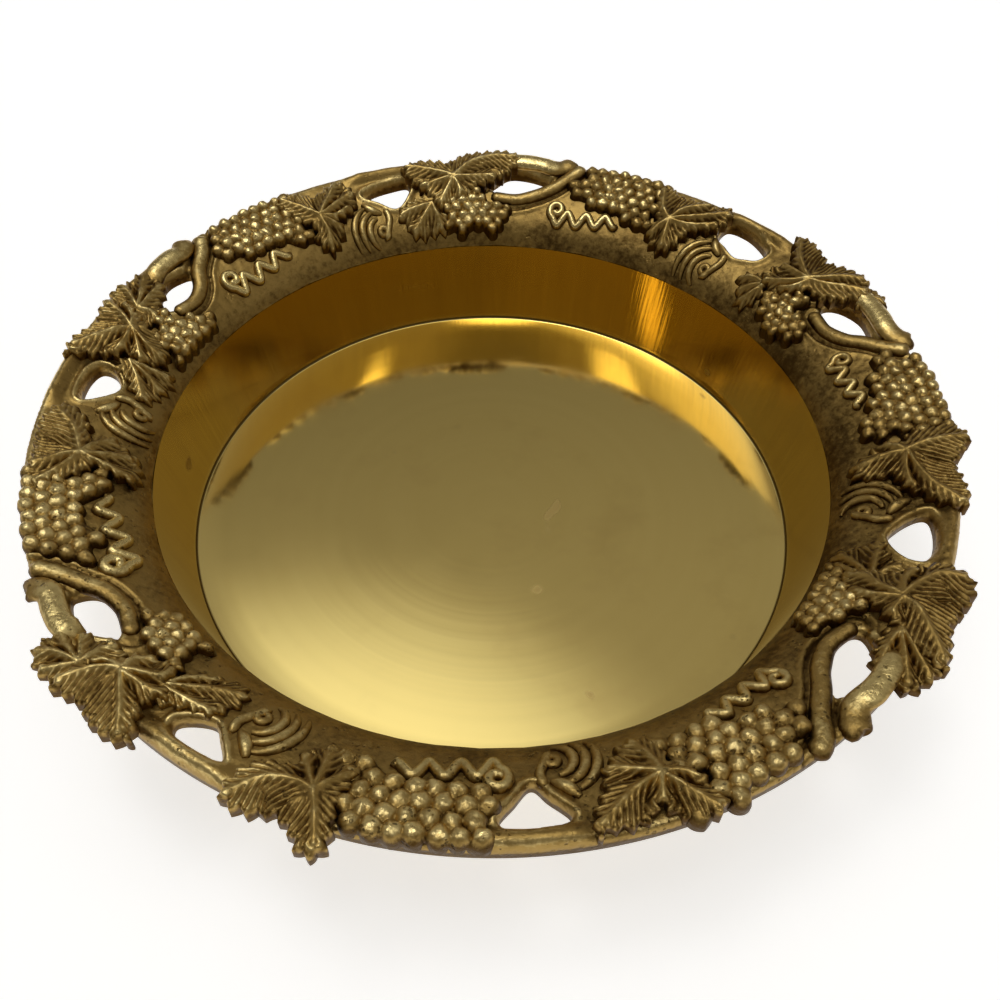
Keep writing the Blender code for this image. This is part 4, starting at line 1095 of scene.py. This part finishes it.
def toothed(corners):
    """Outline through the corners with a row of small pointed teeth along it."""
    outline = curve_on_dish(corners, OUTLINE_STEP, True)
    run = np.arange(len(outline)) * OUTLINE_STEP
    ahead = np.roll(outline, -3, axis=0) - np.roll(outline, 3, axis=0)
    normal = np.column_stack((ahead[:, 1], -ahead[:, 0])) / np.hypot(*ahead.T)[:, None]
    after = np.roll(outline, -1, axis=0)
    if np.sum(outline[:, 0] * after[:, 1] - after[:, 0] * outline[:, 1]) < 0:
        normal = -normal
    count = round(run[-1] / TOOTH_PITCH)
    teeth = 1.2 * np.abs(2 * (run / run[-1] * count % 1) - 1) - 0.7
    return outline + normal * (TOOTH_DEPTH * teeth)[:, None]


def leaf_top(points, outline, ribs, height, dome, seed):
    """Height and relief of a leaf's upper side at plan points."""
    gaps, alongs = map(np.array, zip(*(nearest(points, rib) for rib in ribs)))
    order = np.argsort(gaps, axis=0)
    pick = np.arange(len(points))
    near, second = gaps[order[0], pick], gaps[order[1], pick]
    along = alongs[order[0], pick]
    length = np.array([len(rib) * RIB_STEP for rib in ribs])[order[0]]
    valley = (2 * near / (near + second + 1e-9)) ** 2.5
    valley *= np.clip((along - 0.0008) / 0.003, 0, 1)
    room = nearest(points, outline, True)[0]
    phase = (along - near * VEIN_LEAN) / VEIN_PITCH + 0.12 * lumps(points, 0.004, seed)
    vein = 1.7 * np.abs(np.sin(math.pi * phase)) ** 2.6 - 0.6
    vein_reach = np.clip((near - 0.0004) / 0.0006, 0, 1) * np.clip((along - 0.0006) / 0.002, 0, 1)
    rib = bell(near, 0, RIB_HALF_WIDTH) * np.clip(1.2 - 0.55 * along / length, 0.4, 1)
    side_groove = bell(near, 0.00135, 0.00035)
    rounding = rounded(room, LEAF_EDGE[0])
    sag = np.clip(share_of(points) - 0.66, 0, 1) ** 2 * LEAF_SAG
    rough = lumps(points, 0.0016, seed + 5)
    lift = (
        height + dome * (1 - valley) * np.clip(1.1 - 0.5 * along / length, 0.4, 1)
        - VALLEY_DEPTH * valley + RIB_HEIGHT * rib - SIDE_GROOVE_DEPTH * side_groove
        + VEIN_HEIGHT * vein * vein_reach - LEAF_EDGE[1] * rounding - sag + LEAF_LUMPS * rough
    )
    shine = (
        0.42 + 0.30 * rib + 0.26 * vein * vein_reach - 0.12 * side_groove - 0.30 * valley
        - 0.15 * rounding
    )
    shine += 0.16 * bell(room, 0.0008, 0.0005) + 0.12 * rough
    pit = np.exp(-(np.hypot(*(points - plan(*PIT_PLACE)).T) / PIT_RADIUS) ** 4)
    return band_height(points) + lift - PIT_DEPTH * pit, shine * (1 - pit)


def leaf_body(name, outline, rib_corners, height, dome, seed):
    ribs = [curve_on_dish(rib, RIB_STEP, False) for rib in rib_corners]

    def keep(points):
        return inside(points, outline)

    def top(points):
        return leaf_top(points, outline, ribs, height, dome, seed)

    def bottom(points):
        overhang = LEAF_OVERHANG * (share_of(points) > RAIL_SHARES[1])
        return band_height(points) - LEAF_SUNK - overhang

    return relief_body(name, [outline], keep, LEAF_PITCH, top, bottom)


leaf_metal = cast_brass(
    "leaf_brass", (0.84, 0.66, 0.28), (0.42, 0.275, 0.082), (0.10, 0.052, 0.012), 0.52, 0.5, 0.00018,
)
leaf_outlines = []
for kind, node, leaves, height, dome in (
    ("large_leaf", "large_leaf", LARGE_LEAVES, 0.0026, 0.0010),
    ("side_leaf", "large_leaf", SIDE_LEAVES, 0.0014, 0.0008),
    ("back_leaf", "back_leaf", BACK_LEAVES, 0.0011, 0.0007),
    ("single_leaf", "single_leaf", SINGLE_LEAVES, 0.0023, 0.0011),
):
    for number, leaf in enumerate(leaves, 1):
        if not leaf:
            continue
        name = f"{kind}_cast_{number}"
        outline = toothed(leaf[0])
        leaf_outlines.append(outline)
        mesh = leaf_body(name, outline, leaf[1], height, dome, number + 0.5)
        placed(name, mesh, leaf_metal, "leaf_brass", f"{node}_{number}")


# Grape bunches: a raised bed with a rounded berry on every cell of a honeycomb, a little
# uneven as in a hand-cut mould. The berries are rubbed brightest of all.
BIG_BUNCHES = (
    ((11.8, 0.75), (11.2, 0.48), (7.0, 0.38), (2.0, 0.28), (-3.0, 0.26), (-3.6, 0.74), (1.0, 0.82),
     (6.0, 0.87)),
    ((76.2, 0.70), (75.8, 0.45), (71.0, 0.36), (65.0, 0.28), (61.0, 0.26), (61.0, 0.68), (66.0, 0.71),
     (71.0, 0.74)),
    ((141.2, 0.69), (141.0, 0.42), (136.0, 0.34), (130.0, 0.24), (126.0, 0.24), (126.0, 0.68),
     (131.0, 0.71), (136.0, 0.73)),
    ((207.2, 0.72), (208.0, 0.44), (204.0, 0.36), (198.0, 0.27), (192.0, 0.25), (192.0, 0.68),
     (198.0, 0.75), (203.0, 0.78)),
    ((269.8, 0.82), (270.8, 0.48), (266.0, 0.38), (260.0, 0.33), (253.0, 0.33), (253.0, 0.86),
     (259.0, 0.93), (265.0, 0.92)),
    ((304.5, 0.80), (306.2, 0.46), (302.0, 0.36), (297.0, 0.28), (290.0, 0.28), (290.0, 0.82),
     (296.0, 0.87), (300.0, 0.86)),
)
SMALL_BUNCHES = (
    ((33.0, 0.10), (33.0, 0.30), (29.0, 0.38), (24.6, 0.34), (23.6, 0.20), (24.4, 0.07)),
    ((100.0, 0.08), (100.0, 0.30), (95.0, 0.38), (89.2, 0.32), (87.6, 0.20), (89.0, 0.07)),
    ((163.5, 0.08), (163.0, 0.28), (158.0, 0.34), (153.6, 0.28), (152.4, 0.17), (154.0, 0.06)),
    ((228.0, 0.14), (228.0, 0.34), (224.0, 0.38), (221.0, 0.34), (220.0, 0.24), (221.0, 0.13)),
    ((331.0, 0.06), (331.0, 0.28), (325.0, 0.34), (320.2, 0.28), (318.6, 0.18), (320.0, 0.06)),
)
BIG_PITCHES = (0.0034, 0.0034, 0.0034, 0.0036, 0.0039, 0.0039)
SMALL_PITCHES = (0.0030, 0.0030, 0.0031, 0.0032, 0.0032)
BERRY_RISE_SHARE = 0.35
BERRY_SHAKE = 0.0003
BERRY_SIZES = (0.53, 0.60)
BERRY_WANDER = 0.0014
BERRY_UNEVEN = 0.0006
BUNCH_SPREAD = 0.0011
BUNCH_LIMITS = (0.0030, 0.785)
LEAF_COVER = 0.0010
ROD_CLEARANCE = 0.0010
OPENING_CLEARANCE = 0.0012
# Half widths that the berries keep clear of.
STEM_HALF_WIDTH = 0.0022
CURL_HALF_WIDTH = 0.0010
TWIG_HALF_WIDTH = 0.0030
BED_PITCH = 0.00026
BED_OUTLINE_STEP = 0.00035
BED_HEIGHT = 0.0012
BED_EDGE = 0.0010
BED_SUNK = 0.0003
BED_OVERHANG = 0.0012
MOUND = 0.0006
# How far it is from the mouth up the cove and band, to lay the honeycomb out on the surface.
cove_shares = np.linspace(0, 0.95, 400)
cove_line = np.column_stack((MOUTH_RADIUS + BORDER_WIDTH * cove_shares, np.zeros(400)))
cove_steps = np.hypot(np.diff(cove_line[:, 0]), np.diff(band_height(cove_line)))
cove_runs = np.concatenate(([0], np.cumsum(cove_steps)))


def sampled(wiring, shape, value, index, kind):
    """Value stored at one point of a shape."""
    return wiring.add("GeometryNodeSampleIndex", {
        "Geometry": shape, "Value": value, "Index": index,
    }, data_type=kind).outputs[0]


def berry_tree():
    """Geometry nodes: swells a sheet up round each of the loose points that come with it."""
    tree, wiring, given = new_tree("berries", (
        ("Rise", "NodeSocketFloat", 0.0015), ("Uneven", "NodeSocketFloat", BERRY_UNEVEN),
    ))
    reach = stored(wiring, "berry_reach")
    up = stored(wiring, "up", "FLOAT_VECTOR")
    place = wiring.add("GeometryNodeInputPosition").outputs[0]
    is_berry = wiring.maths("GREATER_THAN", reach, 0.0)
    berries, sheet = wiring.add("GeometryNodeSeparateGeometry", {
        "Geometry": given["Geometry"], "Selection": is_berry,
    }, domain="POINT").outputs[:2]
    wander = wiring.noise(place, 420.0, 1.0, output=1)
    wander = wiring.vectors("SUBTRACT", {0: wander, 1: (0.5, 0.5, 0.5)})
    wander = wiring.vectors("SCALE", {0: wander, "Scale": BERRY_WANDER})
    shaken = wiring.vectors("ADD", {0: place, 1: wander})
    closest = wiring.add("GeometryNodeSampleNearest", {
        "Geometry": berries, "Sample Position": shaken,
    }, domain="POINT").outputs[0]
    spot = sampled(wiring, berries, place, closest, "FLOAT_VECTOR")
    size = sampled(wiring, berries, reach, closest, "FLOAT")
    away = wiring.vectors("DISTANCE", {0: shaken, 1: spot}, "Value")
    share = wiring.maths("MINIMUM", wiring.maths("DIVIDE", away, size), 1.0)
    dome = wiring.maths("POWER", wiring.less(1.0, wiring.times(share, share)), 0.75)
    bumpy = wiring.less(wiring.noise(place, 650.0, 3.0), 0.5)
    lift = wiring.plus(wiring.times(dome, given["Rise"]), wiring.times(bumpy, given["Uneven"]))
    lift = wiring.vectors("SCALE", {0: up, "Scale": lift})
    cast = wiring.add("GeometryNodeSetPosition", {"Geometry": sheet, "Offset": lift}).outputs[0]
    close_tree(wiring, cast, given["Material"])
    return tree


def on_cove(flat, degrees):
    """Plan points from places measured on the surface: sideways from an angle, and up the cove."""
    shares = np.interp(flat[:, 1], cove_runs, cove_shares)
    radii = MOUTH_RADIUS + BORDER_WIDTH * shares
    turns = math.radians(degrees) + flat[:, 0] / radii
    return np.column_stack((np.cos(turns), np.sin(turns))) * radii[:, None]


def berry_spots(corners, pitch, seed):
    """Honeycomb of berries on a bunch, a little shaken, clear of leaves, vine and openings."""
    outline = np.array([plan(*corner) for corner in corners])
    degrees, share = np.mean(corners, axis=0)
    middle_run = np.interp(share, cove_shares, cove_runs)
    cells = np.array([
        ((column + (row % 2) / 2) * pitch, middle_run + row * pitch * math.sqrt(3) / 2)
        for row in range(-9, 10) for column in range(-8, 9)
    ])
    random = np.random.default_rng(seed)
    cells = cells + random.uniform(-BERRY_SHAKE, BERRY_SHAKE, cells.shape)
    sizes = pitch * random.uniform(*BERRY_SIZES, len(cells))
    points = on_cove(cells, degrees)
    keep = inside(points, outline) | (nearest(points, outline, True)[0] < BUNCH_SPREAD)
    keep &= (cells[:, 1] > BUNCH_LIMITS[0]) & (share_of(points) < BUNCH_LIMITS[1])
    for leaf in leaf_outlines:
        keep &= ~(inside(points, leaf) & (nearest(points, leaf, True)[0] > LEAF_COVER))
    for line, half_width in rod_lines:
        keep &= nearest(points, line)[0] > half_width + ROD_CLEARANCE
    for hole in openings:
        keep &= ~inside(points, hole) & (nearest(points, hole, True)[0] > OPENING_CLEARANCE)
    return cells[keep], sizes[keep], degrees


def berry_outline(cells, sizes):
    """Scalloped outline round the berries, measured on the surface."""
    centre = cells.mean(0)
    off = cells - centre
    reaches = []
    turns = np.linspace(0, 2 * math.pi, 260, endpoint=False)
    for turn in turns:
        ahead = off @ (math.cos(turn), math.sin(turn))
        aside = off @ (math.sin(turn), -math.cos(turn))
        span = np.sqrt(np.maximum(sizes ** 2 - aside ** 2, 0))
        reaches.append(max((ahead + span)[span > 0], default=0.001))
    reaches = (np.roll(reaches, 1) + np.array(reaches) * 2 + np.roll(reaches, -1)) / 4
    return centre + np.column_stack((np.cos(turns), np.sin(turns))) * reaches[:, None]


def bunch_sheet(name, cells, sizes, degrees):
    """Raised bed of a bunch, with the places of its berries as loose points."""
    outline = curve_through(on_cove(berry_outline(cells, sizes), degrees), BED_OUTLINE_STEP, True)
    spots = on_cove(cells, degrees)
    centre = spots.mean(0)
    reach = np.hypot(*(spots - centre).T).max()

    def keep(points):
        return inside(points, outline)

    def top(points):
        room = nearest(points, outline, True)[0]
        mound = MOUND * (1 - np.clip(np.hypot(*(points - centre).T) / reach, 0, 1) ** 2)
        bed = BED_HEIGHT + mound - BED_EDGE * rounded(room, BED_EDGE)
        bed = bed * np.hypot(1, band_slope(points))
        return band_height(points) + 0.6 * rail_lift(points) + bed, np.ones(len(points))

    def bottom(points):
        overhang = BED_OVERHANG * (share_of(points) > RAIL_SHARES[1])
        return band_height(points) - BED_SUNK - overhang

    sheet = relief_body(name, [outline], keep, BED_PITCH, top, bottom)
    upper_share = np.empty(len(sheet.vertices), np.float32)
    sheet.attributes["relief"].data.foreach_get("value", upper_share)
    work = bmesh.new()
    work.from_mesh(sheet)
    for (x, y), z in zip(spots, top(spots)[0]):
        work.verts.new((x, y, z))
    work.to_mesh(sheet)
    work.free()
    reaches = np.concatenate((np.zeros(len(upper_share)), sizes))
    sheet.attributes.new("berry_reach", "FLOAT", "POINT").data.foreach_set("value", reaches)
    on_top = np.concatenate((upper_share > 0.9, np.zeros(len(cells))))
    ups = band_normal(corner_places(sheet)[:, :2]) * on_top[:, None]
    sheet.attributes.new("up", "FLOAT_VECTOR", "POINT").data.foreach_set("vector", np.ravel(ups))
    sheet.attributes.remove(sheet.attributes["relief"])
    return sheet


berries = berry_tree()
rod_lines = [(line, STEM_HALF_WIDTH) for line in stems]
rod_lines += [(curl_runs(*spot)[0][0], CURL_HALF_WIDTH) for spot in CURLS]
rod_lines += [(curve_on_dish(corners, 0.0008, False), TWIG_HALF_WIDTH) for corners in TWIG_SHARES]
grape_metal = cast_brass(
    "grape_brass", (0.86, 0.68, 0.30), (0.44, 0.29, 0.088), (0.09, 0.048, 0.011), 0.55, 0.9, 0.00026,
)
for kind, bunches, pitches in (
    ("grape_bunch", BIG_BUNCHES, BIG_PITCHES),
    ("small_bunch", SMALL_BUNCHES, SMALL_PITCHES),
):
    for number, (corners, pitch) in enumerate(zip(bunches, pitches), 1):
        name = f"{kind}_cast_{number}"
        sheet = bunch_sheet("bunch_sheet", *berry_spots(corners, pitch, number))
        rise = pitch * BERRY_RISE_SHARE
        mesh = grown_mesh(name, sheet, berries, {"Rise": rise, "Material": grape_metal})
        relief_by_height(mesh, BED_HEIGHT, BED_HEIGHT + MOUND + rise)
        placed(name, mesh, grape_metal, "grape_brass", f"{kind}_{number}")


# Studio: a white table under a sky that is pale at the horizon and bright overhead, with soft
# boxes and small lamps. The last one is negative, for the dim side that the camera stands on.
# Each lamp is a direction, the angles from it where it is full and gone, and its strength.
LAMPS = (
    ((-0.15, 0.22, 0.96), 13, 25, 0.92),
    ((0.40, -0.18, 0.90), 2, 4.5, 1.9),
    ((-0.40, -0.16, 0.90), 3, 7, 1.6),
    ((0.78, -0.13, 0.61), 3, 6, 1.6),
    ((-0.18, 0.16, 0.97), 5, 11, 3.4),
    ((0.0, -0.10, 0.99), 3, 8, 3.0),
    ((0.0, -0.48, 0.88), 8, 20, -0.12),
)
DIM_SKY = (1.0, 0.92, 0.79, 1)
BRIGHT_SKY = (1.0, 1.0, 0.99, 1)
TABLE_SIZE = 3
TABLE_DROP = 0.0004
TABLE_GLOW = 0.66


def lamp(direction, centre, full, gone, strength):
    """A soft box in the sky: full within one angle of its centre and gone at the other."""
    facing = wiring.vectors("DOT_PRODUCT", {0: direction, 1: Vector(centre).normalized()}, "Value")
    edge = wiring.ramp(facing, math.cos(math.radians(gone)), math.cos(math.radians(full)))
    return wiring.times(edge, strength)


world = bpy.data.worlds.new("studio")
world.use_nodes = True
bpy.context.scene.world = world
wiring = Wiring(world.node_tree)
direction = wiring.add("ShaderNodeTexCoord").outputs["Generated"]
sideways, _, height = wiring.add("ShaderNodeSeparateXYZ", {0: direction}).outputs
sky = wiring.ramp(height, 0.04, 0.17, 0.90, 0.16)
sky = wiring.plus(sky, wiring.ramp(height, 0.62, 0.86, 0.0, 0.10))
sky = wiring.plus(sky, wiring.ramp(sideways, -0.3, 0.4, 0.01, 0.05))
for centre, full, gone, strength in LAMPS:
    sky = wiring.plus(sky, lamp(direction, centre, full, gone, strength))
background = world.node_tree.nodes["Background"]
wiring.join(wiring.blend(wiring.ramp(sky, 0.15, 0.8), DIM_SKY, BRIGHT_SKY), background.inputs["Color"])
wiring.join(sky, background.inputs["Strength"])

table_corners = [(x * TABLE_SIZE, y * TABLE_SIZE, 0) for x, y in ((-1, -1), (1, -1), (1, 1), (-1, 1))]
table_mesh = bpy.data.meshes.new("table")
table_mesh.from_pydata(table_corners, [], [(0, 1, 2, 3)])
table = bpy.data.objects.new("table", table_mesh)
bpy.context.scene.collection.objects.link(table)
table.location.z = -TABLE_DROP
paint = bpy.data.materials.new("table_white")
paint.use_nodes = True
wiring = Wiring(paint.node_tree)
shader = paint.node_tree.nodes["Principled BSDF"]
shader.inputs["Base Color"].default_value = (0.80, 0.80, 0.80, 1)
shader.inputs["Roughness"].default_value = 0.8
shader.inputs["Specular IOR Level"].default_value = 0.0
path = wiring.add("ShaderNodeLightPath").outputs
seen = wiring.maths("MAXIMUM", path["Is Glossy Ray"], path["Is Transmission Ray"])
seen = wiring.maths("MAXIMUM", path["Is Camera Ray"], seen)
glow = wiring.add("ShaderNodeEmission", {"Color": (1, 1, 1, 1), "Strength": wiring.times(seen, TABLE_GLOW)})
both = wiring.add("ShaderNodeAddShader", {0: shader.outputs[0], 1: glow.outputs[0]})
wiring.join(both.outputs[0], paint.node_tree.nodes["Material Output"].inputs["Surface"])
table_mesh.materials.append(paint)


# Camera: a phone held in front of the dish and above it, tipped by about one degree. Its place
# and lens were fitted to the circles of the floor and the mouth.
EYE = Vector((0, -0.17477, 0.20918))
TARGET = Vector((0.00201, 0.00148, 0.003))
TILT = 0.01925

camera_data = bpy.data.cameras.new("camera")
camera_data.lens = 36.77
camera_data.sensor_width = 36
camera = bpy.data.objects.new("camera", camera_data)
bpy.context.scene.collection.objects.link(camera)
look = (TARGET - EYE).normalized()
level = look.cross(Vector((0, 0, 1))).normalized()
upright = level.cross(look)
right = level * math.cos(TILT) + upright * math.sin(TILT)
above = upright * math.cos(TILT) - level * math.sin(TILT)
camera.matrix_world = Matrix((
    (right.x, above.x, -look.x, EYE.x), (right.y, above.y, -look.y, EYE.y),
    (right.z, above.z, -look.z, EYE.z), (0, 0, 0, 1),
))
bpy.context.scene.camera = camera
bpy.context.scene.view_settings.view_transform = "Standard"
